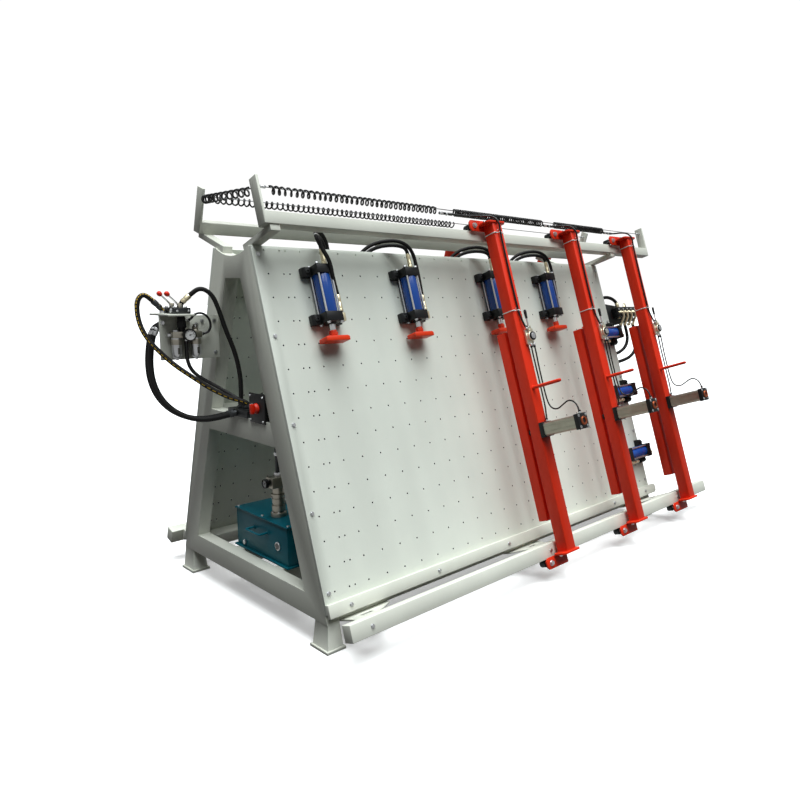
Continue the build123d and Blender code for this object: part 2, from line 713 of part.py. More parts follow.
def beam(x):
    """Square tube with end plates, two roller brackets that grip the rails, and a stick handle."""
    upper_axle = TOP_RAIL_HIGH + ROLLER / 2 + ROLLER_GAP
    lower_axle = BOTTOM_RAIL_LOW - ROLLER / 2 - ROLLER_GAP
    with BuildPart() as tube:
        with BuildSketch(down_plane(x, BEAM_HIGH)):
            with Locations((0, BEAM_BACK + BEAM / 2)):
                Rectangle(BEAM, BEAM)
                Rectangle(BEAM - 2 * BEAM_WALL, BEAM - 2 * BEAM_WALL, mode=Mode.SUBTRACT)
        extrude(amount=BEAM_HIGH - BEAM_LOW)
        with BuildSketch(face_plane(BEAM_BACK)):
            with Locations((x, CYLINDER_U)):
                bar_profile(AIR_ROD, ROD_CLEARANCE)
        extrude(amount=BEAM, mode=Mode.SUBTRACT)
        for top in (BEAM_HIGH + BEAM_PLATE, BEAM_LOW):
            with BuildSketch(down_plane(x, top)):
                with Locations((0, BEAM_BACK + BEAM / 2)):
                    Rectangle(BEAM_PLATE_WIDTH, BEAM + 2 * BEAM_PLATE_MARGIN)
                chamfer(vertices(), length=BEAM_PLATE_CORNER)
            extrude(amount=BEAM_PLATE)
        for axle in (upper_axle, lower_axle):
            with BuildSketch(face_plane(BEAM_BACK - BRACKET_THICK)):
                with Locations((x + BEAM / 2, axle)):
                    Rectangle(BRACKET_REACH + BEAM / 2, BRACKET_HEIGHT, align=(Align.MAX, Align.CENTER))
                chamfer(vertices().group_by(Axis.X)[0], length=BRACKET_HEIGHT / 4)
            extrude(amount=BRACKET_THICK)
            with BuildSketch(face_plane(RAIL_MIDDLE - ROLLER_WIDTH / 2)):
                with Locations((x - ROLLER_SIDE, axle)):
                    bar_profile(ROLLER)
            extrude(amount=ROLLER_WIDTH)
            with BuildSketch(face_plane(RAIL_MIDDLE + ROLLER_WIDTH / 2)):
                with Locations((x - ROLLER_SIDE, axle)):
                    RegularPolygon(AXLE / 2, 6)
            extrude(amount=BEAM_BACK - BRACKET_THICK - RAIL_MIDDLE - ROLLER_WIDTH / 2)
        with BuildSketch(face_plane(BEAM_FRONT)):
            with Locations((x - HANDLE_SIDE, HANDLE_U)):
                bar_profile(HANDLE)
        extrude(amount=HANDLE_LENGTH)
    return tube.part


def air_cylinder(x):
    """Square-profile air cylinder on the beam's front, and the hand valve above it."""
    with BuildPart() as cylinder:
        with BuildSketch(face_plane(BEAM_FRONT)):
            with Locations((x, CYLINDER_U)):
                Rectangle(CYLINDER_CAP, CYLINDER_CAP)
                bar_profile(AIR_ROD, ROD_CLEARANCE, Mode.SUBTRACT)
        extrude(amount=CYLINDER_CAP_LENGTH)
        with BuildSketch(face_plane(BODY_START)):
            with Locations((x, CYLINDER_U)):
                Rectangle(CYLINDER_BODY, CYLINDER_BODY)
            chamfer(vertices(), length=CYLINDER_CORNER)
            with Locations((x, CYLINDER_U)):
                bar_profile(CYLINDER_BORE, mode=Mode.SUBTRACT)
        extrude(amount=CYLINDER_BODY_LENGTH)
        with BuildSketch(face_plane(BODY_END)):
            with Locations((x, CYLINDER_U)):
                Rectangle(CYLINDER_CAP, CYLINDER_CAP)
        extrude(amount=CYLINDER_CAP_LENGTH)
        with BuildSketch(face_plane(BODY_END + CYLINDER_CAP_LENGTH)):
            with Locations((x, CYLINDER_U)):
                bar_profile(CUSHION_RING)
        extrude(amount=CUSHION_LENGTH)
        with BuildSketch(face_plane(BEAM_FRONT)):
            with Locations((x + VALVE_SIDE, VALVE_U)):
                Rectangle(VALVE_WIDTH, VALVE_HEIGHT, align=(Align.CENTER, Align.MIN))
        extrude(amount=VALVE_DEPTH)
        with BuildSketch(face_plane(LEVER_N - LEVER_HUB / 2)):
            with Locations(*[(x + VALVE_SIDE + side, VALVE_TOP) for side in (-CHEEK_SIDE, CHEEK_SIDE)]):
                Rectangle(CHEEK, CHEEK_HEIGHT, align=(Align.CENTER, Align.MIN))
        extrude(amount=LEVER_HUB)
    return cylinder.part


def press_bar(x):
    """Press bar on the end of the air cylinder's piston rod."""
    piston_start = BODY_END - AIR_PISTON - PISTON_START
    with BuildPart() as bar:
        with BuildSketch(face_plane(BAR_BACK)):
            with Locations((x, BAR_LOW)):
                Rectangle(BAR_WIDTH, BAR_LENGTH, align=(Align.CENTER, Align.MIN))
        extrude(amount=BAR_DEPTH)
        with BuildSketch(face_plane(BAR_FRONT)):
            with Locations((x, CYLINDER_U)):
                bar_profile(AIR_ROD)
        extrude(amount=piston_start - BAR_FRONT)
        with BuildSketch(face_plane(piston_start)):
            with Locations((x, CYLINDER_U)):
                bar_profile(CYLINDER_BORE, -PISTON_CLEARANCE)
        extrude(amount=AIR_PISTON)
    return bar.part


def valve_lever(x):
    """Lever of a hand valve: hub between two cheeks, thin rod and a round grip."""
    pivot = place(x + VALVE_SIDE, LEVER_U, LEVER_N)
    hub = Plane(origin=pivot, x_dir=(0, S, C), z_dir=(1, 0, 0))
    up = Plane(origin=pivot, x_dir=(1, 0, 0), z_dir=(0, S, C))
    with BuildPart() as lever:
        with BuildSketch(hub.offset(-LEVER_HUB_WIDTH / 2)):
            eye_profile(LEVER_HUB, FLATS)
        extrude(amount=LEVER_HUB_WIDTH)
        with BuildSketch(up):
            RegularPolygon(LEVER_ROD / 2, 6)
        extrude(amount=LEVER_REACH)
        with BuildSketch(up.offset(LEVER_REACH)):
            bar_profile(GRIP)
        extrude(amount=GRIP_LENGTH)
    return lever.part


def hose(points, diameter):
    """A hose of straight runs joined by the largest tangent arcs that the runs leave room for."""
    corners = [Vector(*point) for point in points]
    runs = [after - before for before, after in zip(corners, corners[1:])]
    radii = []
    for before, after in zip(runs, runs[1:]):
        half_turn = radians(before.get_angle(after)) / 2
        radii.append(0.45 * min(before.length, after.length) / tan(half_turn))
    with BuildPart() as tube:
        with BuildLine() as route:
            FilletPolyline(*corners, radius=radii)
        with BuildSketch(route.line ^ 0):
            RegularPolygon(diameter / 2, HOSE_FLATS)
        sweep(clean=False)
    length = sum(edge.length for edge in route.edges())
    fill = tube.part.volume / (tube_area(diameter) * length)
    print(f"hose {diameter} mm, {length:.0f} mm long, least radius {min(radii):.0f}, fill {fill:.3f}")
    return tube.part


def beam_hoses(x, tee_side):
    """Air hoses of one front beam: supply from the tee on the wire, and two branches to the cylinder."""
    tee_u = SPIRAL_U - TEE_DROP
    with BuildPart() as tee:
        with BuildSketch(cross_plane(x + tee_side - TEE_LENGTH / 2)):
            with Locations((tee_u, RAIL_MIDDLE)):
                Rectangle(TEE, TEE)
        extrude(amount=TEE_LENGTH)
    over = BEAM_HIGH + BEAM_PLATE
    tied = BEAM_FRONT + AIR_HOSE / 2 + 1
    first_bend = [place(x + tee_side + 8, over + 50, RAIL_MIDDLE + 30)]
    if tee_side < -150:
        first_bend = [
            place(x + tee_side + 24, over + 52, RAIL_MIDDLE + 30),
            place(x + tee_side + 76, over + 47, RAIL_FACE + 9),
            place(x + tee_side + 134, over + 43, BEAM_BACK + 10),
        ]
    supply = [
        place(x + tee_side, tee_u - 4, RAIL_MIDDLE + TEE / 2),
        *first_bend,
        place(x - 42, over + 38, BEAM_BACK + 34),
        place(x - 12, over + 26, BEAM_FRONT - 4),
        place(x - 2, over - 12, BEAM_FRONT + 20),
        place(x, over - 62, tied + 3),
        place(x + 1, VALVE_TOP + 110, tied),
        place(x + 8, VALVE_TOP + 45, tied + 6),
        place(x + 17, VALVE_TOP, BEAM_FRONT + 22),
    ]
    to_front = [
        place(x + 26, VALVE_U, BEAM_FRONT + 20),
        place(x + 29, VALVE_U - 42, BEAM_FRONT + 15),
        place(x + 40, VALVE_U - 96, BEAM_FRONT + 7),
        place(x + 41, CYLINDER_TOP + 96, BEAM_FRONT + 7),
        place(x + 31, CYLINDER_TOP + 46, BEAM_FRONT + 11),
        place(x + 20, CYLINDER_TOP, BEAM_FRONT + 13),
    ]
    to_back = [
        place(x + 44, VALVE_U, BEAM_FRONT + 24),
        place(x + 48, VALVE_U - 40, BEAM_FRONT + 24),
        place(x + 52, VALVE_U - 100, BEAM_FRONT + 16),
        place(x + 52, CYLINDER_TOP + 112, BEAM_FRONT + 16),
        place(x + 50, CYLINDER_TOP + 62, BEAM_FRONT + 34),
        place(x + 44, CYLINDER_TOP + 46, BEAM_FRONT + 78),
        place(x + 34, CYLINDER_TOP + 64, BEAM_FRONT + 130),
        place(x + 22, CYLINDER_TOP + 78, BODY_END - 50),
        place(x + 11, CYLINDER_TOP + 62, BODY_END - 10),
        place(x + 6, CYLINDER_TOP + 31, BODY_END + 10),
        place(x + 4, CYLINDER_TOP, BODY_END + 13),
    ]
    tubes = [hose(supply, AIR_HOSE), hose(to_front, BRANCH_HOSE), hose(to_back, BRANCH_HOSE)]
    return Compound(children=[tee.part, *tubes])


for number, x in enumerate(FRONT_BEAM_X, 1):
    save(beam(x), f"front_beam_{number}")
    save(air_cylinder(x), f"front_air_cylinder_{number}")
    save(press_bar(x), f"front_press_bar_{number}")
    save(valve_lever(x), f"front_valve_lever_{number}")
    save(beam_hoses(x, TEE_SIDE[number - 1]), f"front_beam_hoses_{number}")
for number, x in enumerate(REAR_BEAM_X, 1):
    save(mirror(beam(x), about=Plane.XZ), f"rear_beam_{number}")
    save(mirror(air_cylinder(x), about=Plane.XZ), f"rear_air_cylinder_{number}")
    save(mirror(press_bar(x), about=Plane.XZ), f"rear_press_bar_{number}")
    save(mirror(valve_lever(x), about=Plane.XZ), f"rear_valve_lever_{number}")


def ram_hoses(ram_x, first):
    """Two hoses of a top ram, arching over the panel's edge to their trunk bars.

    They lean to the left, but the first ram's loop up and to the right, away from the end frame.
    """
    end = TRUNK_LOW + TRUNK - TOP_RAM_END
    edge = PANEL_HIGH - TOP_RAM_END
    near = -PANEL_THICK - TRUNK * 0.6
    far = -PANEL_THICK - TRUNK * 1.75
    side = CAP_SIZE / 2 + ELBOW / 2
    low = FRONT_FITTING_LENGTH - FRONT_CAP_START - 4

    def at(side, back, out):
        return place(ram_x + side, TOP_RAM_END + back, out)

    if first:
        rear = [
            at(REAR_FITTING_SIDE, REAR_FITTING_LENGTH, FITTING_OUT),
            at(REAR_FITTING_SIDE, edge + 10, FITTING_OUT),
            at(6, edge + 46, FITTING_OUT - 6),
            at(14, edge + 74, FITTING_OUT - 30),
            at(46, edge + 76, 2),
            at(76, edge + 48, near + 8),
            at(86, edge + 8, near),
            at(86, end, near),
        ]
        front = [
            at(side, low, FITTING_OUT),
            at(side + 8, low * 0.4, FITTING_OUT + 10),
            at(side + 2, 8, FITTING_OUT + 33),
            at(24, 60, FITTING_OUT + 46),
            at(-6, edge + 14, FITTING_OUT + 34),
            at(-12, edge + 62, FITTING_OUT + 14),
            at(8, edge + 98, FITTING_OUT - 16),
            at(48, edge + 104, 14),
            at(94, edge + 84, -20),
            at(120, edge + 42, far + 10),
            at(126, edge - 2, far),
            at(126, end, far),
        ]
    else:
        rear = [
            at(REAR_FITTING_SIDE, REAR_FITTING_LENGTH, FITTING_OUT),
            at(REAR_FITTING_SIDE, edge + 4, FITTING_OUT),
            at(-6, edge + 30, FITTING_OUT - 12),
            at(-48, edge + 45, FITTING_OUT - 36),
            at(-98, edge + 43, -2),
            at(-138, edge + 26, near + 5),
            at(-162, edge - 2, near),
            at(-162, end, near),
        ]
        front = [
            at(side, low, FITTING_OUT),
            at(side + 3, low * 0.4, FITTING_OUT + 3),
            at(side + 2, REAR_FITTING_LENGTH / 2, FITTING_OUT + 4),
            at(side - 4, edge - 8, FITTING_OUT + 4),
            at(30, edge + 39, FITTING_OUT - 4),
            at(-14, edge + 65, FITTING_OUT - 24),
            at(-70, edge + 71, 8),
            at(-124, edge + 59, near + 8),
            at(-166, edge + 28, far + 12),
            at(-186, edge - 6, far),
            at(-186, end, far),
        ]
    return [hose(rear, HOSE), hose(front, HOSE)]


hoses = []
for x in TOP_RAM_X:
    hoses += ram_hoses(x, x == TOP_RAM_X[0])

# Hoses of the right manifold, looping down and back to the end frame
outlet_u = MANIFOLD_U - MANIFOLD_OUTLET_LENGTH
outlet_n = MANIFOLD_DEPTH / 2 - PANEL_THICK
outer_x = MANIFOLD_X + MANIFOLD_LENGTH / 2 + 1.5 * MANIFOLD_PITCH
inner_x = outer_x - 2 * MANIFOLD_PITCH
hoses.append(hose([
    place(outer_x, outlet_u, outlet_n),
    place(outer_x + 6, outlet_u - 60, outlet_n),
    place(outer_x - 2, outlet_u - 124, outlet_n - 4),
    place(outer_x - 36, outlet_u - 180, outlet_n - 12),
    place(outer_x - 95, outlet_u - 216, outlet_n - 24),
    place(outer_x - 160, outlet_u - 230, outlet_n - 40),
    place(PANEL_RIGHT + 46, outlet_u - 236, outlet_n - 50),
    place(PANEL_RIGHT, outlet_u - 238, outlet_n - 57),
], MANIFOLD_HOSE))
hoses.append(hose([
    place(inner_x, outlet_u, outlet_n),
    place(inner_x + 4, outlet_u - 55, outlet_n),
    place(inner_x - 8, outlet_u - 110, outlet_n - 6),
    place(inner_x - 42, outlet_u - 150, outlet_n - 17),
    place(inner_x - 90, outlet_u - 173, outlet_n - 34),
    place(PANEL_RIGHT + 30, outlet_u - 180, outlet_n - 46),
    place(PANEL_RIGHT, outlet_u - 183, outlet_n - 56),
], MANIFOLD_HOSE))

# A hose that comes over from the end frame into the manifold's top
manifold_high = MANIFOLD_U + MANIFOLD_HEIGHT
hoses.append(hose([
    place(PANEL_RIGHT, manifold_high + 70, -45),
    place(PANEL_RIGHT + 38, manifold_high + 86, -38),
    place(PANEL_RIGHT + 82, manifold_high + 88, -24),
    place(PANEL_RIGHT + 112, manifold_high + 68, -4),
    place(MANIFOLD_X + 45, manifold_high + 35, outlet_n),
    place(MANIFOLD_X + 45, manifold_high, outlet_n),
], MANIFOLD_HOSE))

# Two control hoses from the valve shelf, each looping into the bay of the left end frame
bulkhead_x = FRAME_INSIDE - FRAME_THICK / 2
shelf_hose_x = PLATE_LEFT + 28
hoses.append(hose([
    spot(shelf_hose_x, SHELF_Y + 23, SHELF_TOP),
    spot(shelf_hose_x, SHELF_Y + 23, SHELF_TOP + 18),
    spot(shelf_hose_x - 37, SHELF_Y + 30, SHELF_TOP + 56),
    spot(shelf_hose_x - 69, SHELF_Y + 36, SHELF_TOP + 84),
    spot(shelf_hose_x - 97, SHELF_Y + 40, SHELF_TOP + 58),
    spot(shelf_hose_x - 104, SHELF_Y + 35, SHELF_TOP),
    spot(shelf_hose_x - 96, SHELF_Y + 19, SHELF_TOP - 62),
    spot(shelf_hose_x - 71, SHELF_Y - 3, SHELF_TOP - 116),
    spot(shelf_hose_x - 37, SHELF_Y - 29, SHELF_TOP - 166),
    spot(shelf_hose_x + 4, SHELF_Y - 57, SHELF_TOP - 216),
    spot(shelf_hose_x + 58, SHELF_Y - 91, SHELF_TOP - 266),
    spot(shelf_hose_x + 123, SHELF_Y - 127, SHELF_TOP - 322),
    spot(shelf_hose_x + 190, SHELF_Y - 171, SHELF_TOP - 366),
    spot(bulkhead_x - 6, -58, BULKHEAD_TOP + 34),
    spot(bulkhead_x, -60, BULKHEAD_TOP),
], CONTROL_HOSE))
block_hose_x = BLOCK_X + VALVE_BLOCK_LENGTH / 2 - 18
hoses.append(hose([
    spot(block_hose_x, SHELF_Y, BLOCK_TOP),
    spot(block_hose_x, SHELF_Y, BLOCK_TOP + 16),
    spot(block_hose_x + 35, SHELF_Y - 11, BLOCK_TOP + 50),
    spot(block_hose_x + 79, SHELF_Y - 26, BLOCK_TOP + 88),
    spot(block_hose_x + 125, SHELF_Y - 41, BLOCK_TOP + 58),
    spot(block_hose_x + 147, SHELF_Y - 53, BLOCK_TOP - 14),
    spot(block_hose_x + 167, SHELF_Y - 65, BLOCK_TOP - 102),
    spot(bulkhead_x + 2, SHELF_Y - 79, BLOCK_TOP - 192),
    spot(bulkhead_x + 14, SHELF_Y - 94, BLOCK_TOP - 284),
    spot(bulkhead_x + 11, SHELF_Y - 107, BULKHEAD_TOP + 74),
    spot(bulkhead_x, 40, BULKHEAD_TOP),
], CONTROL_HOSE))

# A pair of thick supply hoses hanging in a loop from behind the bracket plate
for row in (0, 1):
    back = row * 28
    hoses.append(hose([
        spot(PLATE_LEFT + 24, PLATE_Y + 28 + back, PLATE_LOW + 150),
        spot(PLATE_LEFT + 2, PLATE_Y + 28 + back, PLATE_LOW + 145),
        spot(PLATE_LEFT - 16, PLATE_Y + 34 + back, PLATE_LOW + 106),
        spot(PLATE_LEFT - 28, PLATE_Y + 34 + back, PLATE_LOW + 46),
        spot(PLATE_LEFT - 36, PLATE_Y + 30 + back, PLATE_LOW - 24),
        spot(PLATE_LEFT - 34, PLATE_Y + 18 + back, PLATE_LOW - 96),
        spot(PLATE_LEFT - 14, PLATE_Y - 4 + back, PLATE_LOW - 166),
        spot(PLATE_LEFT + 28, PLATE_Y - 32 + back, PLATE_LOW - 222),
        spot(PLATE_LEFT + 92, PLATE_Y - 66 + back, PLATE_LOW - 258),
        spot(PLATE_LEFT + 170, PLATE_Y - 104 + back, PLATE_LOW - 262),
        spot(BULKHEAD_LEFT, 5 + back, MIDDLE_BAR_TOP + BULKHEAD_HEIGHT / 2),
    ], SUPPLY_HOSE))

# Air lines of the preparation unit: one arches in from the plate, one drops away into the bay
unit_z = BOWL_TOP + FRL_BODY_HEIGHT / 2
hoses.append(hose([
    spot(FRL_RIGHT - 42, PLATE_Y, FRL_TOP + 47),
    spot(FRL_RIGHT - 42, PLATE_Y - 24, FRL_TOP + 47),
    spot(FRL_RIGHT - 26, PLATE_Y - 34, FRL_TOP + 76),
    spot(FRL_RIGHT + 14, PLATE_Y - 34, FRL_TOP + 78),
    spot(FRL_RIGHT + 43, PLATE_Y - 31, FRL_TOP + 46),
    spot(FRL_RIGHT + 46, PLATE_Y - 27, FRL_TOP + 8),
    spot(FRL_RIGHT + 26, FRL_Y, unit_z),
    spot(FRL_RIGHT, FRL_Y, unit_z),
], AIR_HOSE))
unit_x = FRL_X + FRL_SPACING / 2
hoses.append(hose([
    spot(unit_x, FRL_Y, BOWL_TOP),
    spot(unit_x, FRL_Y, BOWL_TOP - 44),
    spot(unit_x - 3, FRL_Y - 4, BOWL_TOP - 94),
    spot(unit_x + 8, FRL_Y - 14, BOWL_TOP - 140),
    spot(unit_x + 40, FRL_Y - 30, BOWL_TOP - 176),
    spot(unit_x + 86, FRL_Y - 52, BOWL_TOP - 208),
    spot(unit_x + 134, FRL_Y - 88, BOWL_TOP - 246),
    spot(bulkhead_x - 10, -2, BULKHEAD_TOP + 34),
    spot(bulkhead_x, -10, BULKHEAD_TOP),
], AIR_LINE))


def spiral(start, end, up, turns):
    """A spiral air hose between two points: half turns of two arcs each, with straight ends."""
    along = (end - start).normalized()
    out = along.cross(up)
    pitch = (end - start).length / turns

    def at(angle):
        middle = start + along * (pitch * angle / (2 * pi))
        return middle + (up * cos(angle) + out * sin(angle)) * SPIRAL_RADIUS

    def heading(angle):
        turn = (out * cos(angle) - up * sin(angle)) * SPIRAL_RADIUS
        return (along * (pitch / (2 * pi)) + turn).normalized()

    with BuildPart() as tube:
        with BuildLine() as route:
            Line(at(0) - heading(0) * SPIRAL_TUBE, at(0))
            for step in range(int(2 * turns)):
                first, last = at(step * pi), at((step + 1) * pi)
                leave, arrive = heading(step * pi), heading((step + 1) * pi)
                chord = last - first
                both = leave + arrive
                bend = 2 * (1 - leave.dot(arrive))
                reach = (chord.dot(both) ** 2 + bend * chord.dot(chord)) ** 0.5 - chord.dot(both)
                reach = reach / bend
                near = first + leave * reach
                far = last - arrive * reach
                knot = (near + far) * 0.5
                TangentArc(first, knot, tangent=leave)
                TangentArc(knot, last, tangent=far - near)
            Line(last, last + arrive * SPIRAL_TUBE)
        with BuildSketch(route.line ^ 0):
            RegularPolygon(SPIRAL_TUBE / 2, HOSE_FLATS)
        sweep(clean=False)
    points = [at(2 * pi * step / 24) for step in range(int(24 * turns))]
    gap = min(
        (one - two).length for index, one in enumerate(points) for two in points[index + 12:]
    ) - SPIRAL_TUBE
    length = sum(edge.length for edge in route.edges())
    fill = tube.part.volume / (tube_area(SPIRAL_TUBE) * length)
    print(f"spiral of {turns} turns, {length:.0f} mm long, least gap {gap:.1f}, fill {fill:.3f}")
    return tube.part


# A short spiral hose on the wire between the two left posts, which feeds the rear side
cross_z = CROSS_WIRE_Z - WIRE_U + SPIRAL_U
cross_y = CROSS_WIRE_HALF - SPIRAL_RADIUS
hoses.append(spiral(
    Vector(*spot(POST_MIDDLE, -cross_y, cross_z)),
    Vector(*spot(POST_MIDDLE, cross_y, cross_z)),
    Vector(0, 0, 1),
    CROSS_SPIRAL_TURNS,
))
save(Compound(children=hoses), "hydraulic_hoses")


def on_wire(x):
    """A point on the middle line of the spiral hoses under the front wire."""
    return Vector(*place(x, SPIRAL_U, RAIL_MIDDLE))


tees = [x + side for x, side in zip(FRONT_BEAM_X, TEE_SIDE)]
spiral_start = -RAIL_END + POST_THICK + WIRE_SLEEVE_LENGTH + 2 * SPIRAL_TUBE
spiral_clear = TEE_LENGTH / 2 + 16
rear_end = REAR_BEAM_X[0] - BRACKET_REACH
slope = Vector(0, S, C)
spirals = [
    spiral(on_wire(spiral_start), on_wire(tees[0] - spiral_clear), slope, SPIRAL_TURNS[0]),
    spiral(on_wire(tees[0] + spiral_clear), on_wire(tees[1] - spiral_clear), slope, SPIRAL_TURNS[1]),
    spiral(on_wire(tees[1] + spiral_clear), on_wire(tees[2] - spiral_clear), slope, SPIRAL_TURNS[2]),
    mirror(spiral(on_wire(spiral_start), on_wire(rear_end), slope, REAR_SPIRAL_TURNS), about=Plane.XZ),
]
save(Compound(children=spirals), "spiral_air_hoses")

# Oil tank on its flange, with a bow handle on the left and a breather cap
with BuildPart() as oil_tank:
    with BuildSketch(level_plane(FRAME_BAR_TOP)):
        with Locations((TANK_X + TANK_LENGTH / 2, 0)):
            Rectangle(TANK_LENGTH + 2 * TANK_FLANGE_MARGIN, TANK_WIDTH + 2 * TANK_FLANGE_MARGIN)
    extrude(amount=TANK_FLANGE)
    with BuildSketch(level_plane(FRAME_BAR_TOP + TANK_FLANGE)):
        with Locations((TANK_X + TANK_LENGTH / 2, 0)):
            Rectangle(TANK_LENGTH, TANK_WIDTH)
    extrude(amount=TANK_HEIGHT)
    with BuildSketch(level_plane(TANK_TOP)):
        with Locations((TANK_X + TANK_LENGTH / 2, BREATHER_Y)):
            RegularPolygon(BREATHER / 2, BARREL_FLATS)
    extrude(amount=BREATHER_HEIGHT)
    bow_z = TANK_TOP - TANK_HEIGHT * 0.35
    with BuildLine() as bow:
        FilletPolyline(
            spot(TANK_X, -TANK_BOW_WIDTH / 2, bow_z),
            spot(TANK_X - TANK_BOW_REACH, -TANK_BOW_WIDTH / 2, bow_z),
            spot(TANK_X - TANK_BOW_REACH, TANK_BOW_WIDTH / 2, bow_z),
            spot(TANK_X, TANK_BOW_WIDTH / 2, bow_z),
            radius=TANK_BOW_REACH * 0.5,
        )
    with BuildSketch(bow.line ^ 0):
        RegularPolygon(TANK_BOW / 2, 6)
    sweep()
save(oil_tank.part, "oil_tank")

# Air-driven pump on the tank, with its outlet block, riser pipe and pressure gauge
with BuildPart() as hydraulic_pump:
    with BuildSketch(level_plane(TANK_TOP)):
        with Locations((PUMP_X, PUMP_Y)):
            RegularPolygon(PUMP_RING / 2, BARREL_FLATS)
    extrude(amount=PUMP_RING_HEIGHT)
    with BuildSketch(level_plane(TANK_TOP + PUMP_RING_HEIGHT)):
        with Locations((PUMP_X, PUMP_Y)):
            RegularPolygon(PUMP / 2, BARREL_FLATS)
    extrude(amount=PUMP_HEIGHT)
    with BuildSketch(level_plane(PUMP_TOP)):
        with Locations((PUMP_X, PUMP_Y)):
            Rectangle(PUMP_BLOCK_LENGTH, PUMP_BLOCK_WIDTH)
    extrude(amount=PUMP_BLOCK_HEIGHT)
    with BuildSketch(level_plane(PUMP_TOP + PUMP_BLOCK_HEIGHT)):
        with Locations((PUMP_X, PUMP_Y)):
            RegularPolygon(PUMP_PIPE / 2, 6)
    extrude(amount=PUMP_PIPE_HEIGHT)
    with BuildSketch(end_plane(PUMP_X - PUMP_BLOCK_LENGTH / 2)):
        with Locations((PUMP_Y, PUMP_TOP + PUMP_BLOCK_HEIGHT / 2)):
            RegularPolygon(GAUGE / 2, BARREL_FLATS)
    extrude(amount=-GAUGE_DEPTH)
save(hydraulic_pump.part, "hydraulic_pump")

# Bracket plate on the left end frame, its shelf, and the two-spool valve block on the shelf
with BuildPart() as control_bracket:
    with BuildSketch(front_plane(PLATE_Y + PLATE_THICK)):
        with Locations((PLATE_LEFT, PLATE_LOW)):
            Rectangle(PLATE_LENGTH, PLATE_HEIGHT, align=(Align.MIN, Align.MIN))
    extrude(amount=PLATE_THICK)
    with BuildSketch(level_plane(SHELF_TOP - PLATE_THICK)):
        with Locations((PLATE_LEFT, SHELF_Y)):
            Rectangle(SHELF_LENGTH, SHELF_WIDTH, align=(Align.MIN, Align.CENTER))
    extrude(amount=PLATE_THICK)
    with BuildSketch(level_plane(SHELF_TOP)):
        with Locations((BLOCK_X, SHELF_Y)):
            Rectangle(VALVE_BLOCK_LENGTH, VALVE_BLOCK_WIDTH)
    extrude(amount=VALVE_BLOCK_HEIGHT)
    with BuildSketch(level_plane(BLOCK_TOP)):
        with Locations((BALL_LEVER_X, SHELF_Y)):
            with GridLocations(1, SPOOL_SPACING, 1, 2):
                with Locations((0, -CHEEK_SIDE), (0, CHEEK_SIDE)):
                    Rectangle(LEVER_HUB, CHEEK)
    extrude(amount=CHEEK_HEIGHT)
    with BuildSketch(front_plane(PLATE_Y + PLATE_THICK + SUPPLY_BLOCK_DEPTH)):
        with Locations((PLATE_LEFT + 24, PLATE_LOW + 134)):
            Rectangle(40, 32, align=(Align.MIN, Align.MIN))
    extrude(amount=SUPPLY_BLOCK_DEPTH)
save(control_bracket.part, "control_bracket")


def ball_lever(y):
    """Lever of a valve spool, leaning outwards and ending in a round knob."""
    pivot = spot(BALL_LEVER_X, y, BALL_LEVER_Z)
    lean = radians(BALL_LEVER_ANGLE)
    along = Plane(origin=pivot, x_dir=(0, 1, 0), z_dir=(-sin(lean), 0, cos(lean)))
    across = Plane(origin=pivot, x_dir=(-sin(lean), 0, cos(lean)), z_dir=(0, 1, 0))
    with BuildPart() as lever:
        with BuildSketch(along.offset(BALL_LEVER_LENGTH)):
            bar_profile(BALL)
        extrude(amount=BALL)
        chamfer(faces().sort_by(SortBy.AREA)[-2:].edges(), length=BALL * BALL_CHAMFER)
        with BuildSketch(across.offset(-LEVER_HUB_WIDTH / 2)):
            eye_profile(LEVER_HUB, FLATS)
        extrude(amount=LEVER_HUB_WIDTH)
        with BuildSketch(along):
            RegularPolygon(LEVER_ROD / 2, 6)
        extrude(amount=BALL_LEVER_LENGTH)
    return lever.part


save(ball_lever(SHELF_Y - SPOOL_SPACING / 2), "valve_lever_1")
save(ball_lever(SHELF_Y + SPOOL_SPACING / 2), "valve_lever_2")

# Air preparation unit: two bowls under one body, a neck for the knob, and a gauge
with BuildPart() as air_preparation_unit:
    with BuildSketch(level_plane(PLATE_LOW)):
        with Locations((FRL_X, FRL_Y), (FRL_X + FRL_SPACING, FRL_Y)):
            bar_profile(FRL_BOWL)
    extrude(amount=FRL_BOWL_HEIGHT)
    with BuildSketch(level_plane(BOWL_TOP)):
        with Locations((FRL_X + FRL_SPACING / 2, FRL_Y)):
            Rectangle(FRL_SPACING + FRL_BOWL, FRL_BODY_DEPTH)
    extrude(amount=FRL_BODY_HEIGHT)
    with BuildSketch(level_plane(FRL_TOP)):
        with Locations((REGULATOR_X, FRL_Y), (FRL_X + FRL_SPACING, FRL_Y)):
            bar_profile(REGULATOR_KNOB - 8)
    extrude(amount=FRL_NECK)
    with BuildSketch(front_plane(PLATE_Y - FRL_BODY_DEPTH)):
        with Locations((FRL_X + FRL_SPACING / 2, BOWL_TOP + FRL_BODY_HEIGHT / 2)):
            RegularPolygon(FRL_GAUGE / 2, BARREL_FLATS)
    extrude(amount=GAUGE_DEPTH)
save(air_preparation_unit.part, "air_preparation_unit")

with BuildPart() as regulator_knob:
    with BuildSketch(Plane(origin=spot(REGULATOR_X, FRL_Y, KNOB_LOW))):
        eye_profile(REGULATOR_KNOB, BARREL_FLATS)
    extrude(amount=REGULATOR_HEIGHT)
save(regulator_knob.part, "regulator_knob")

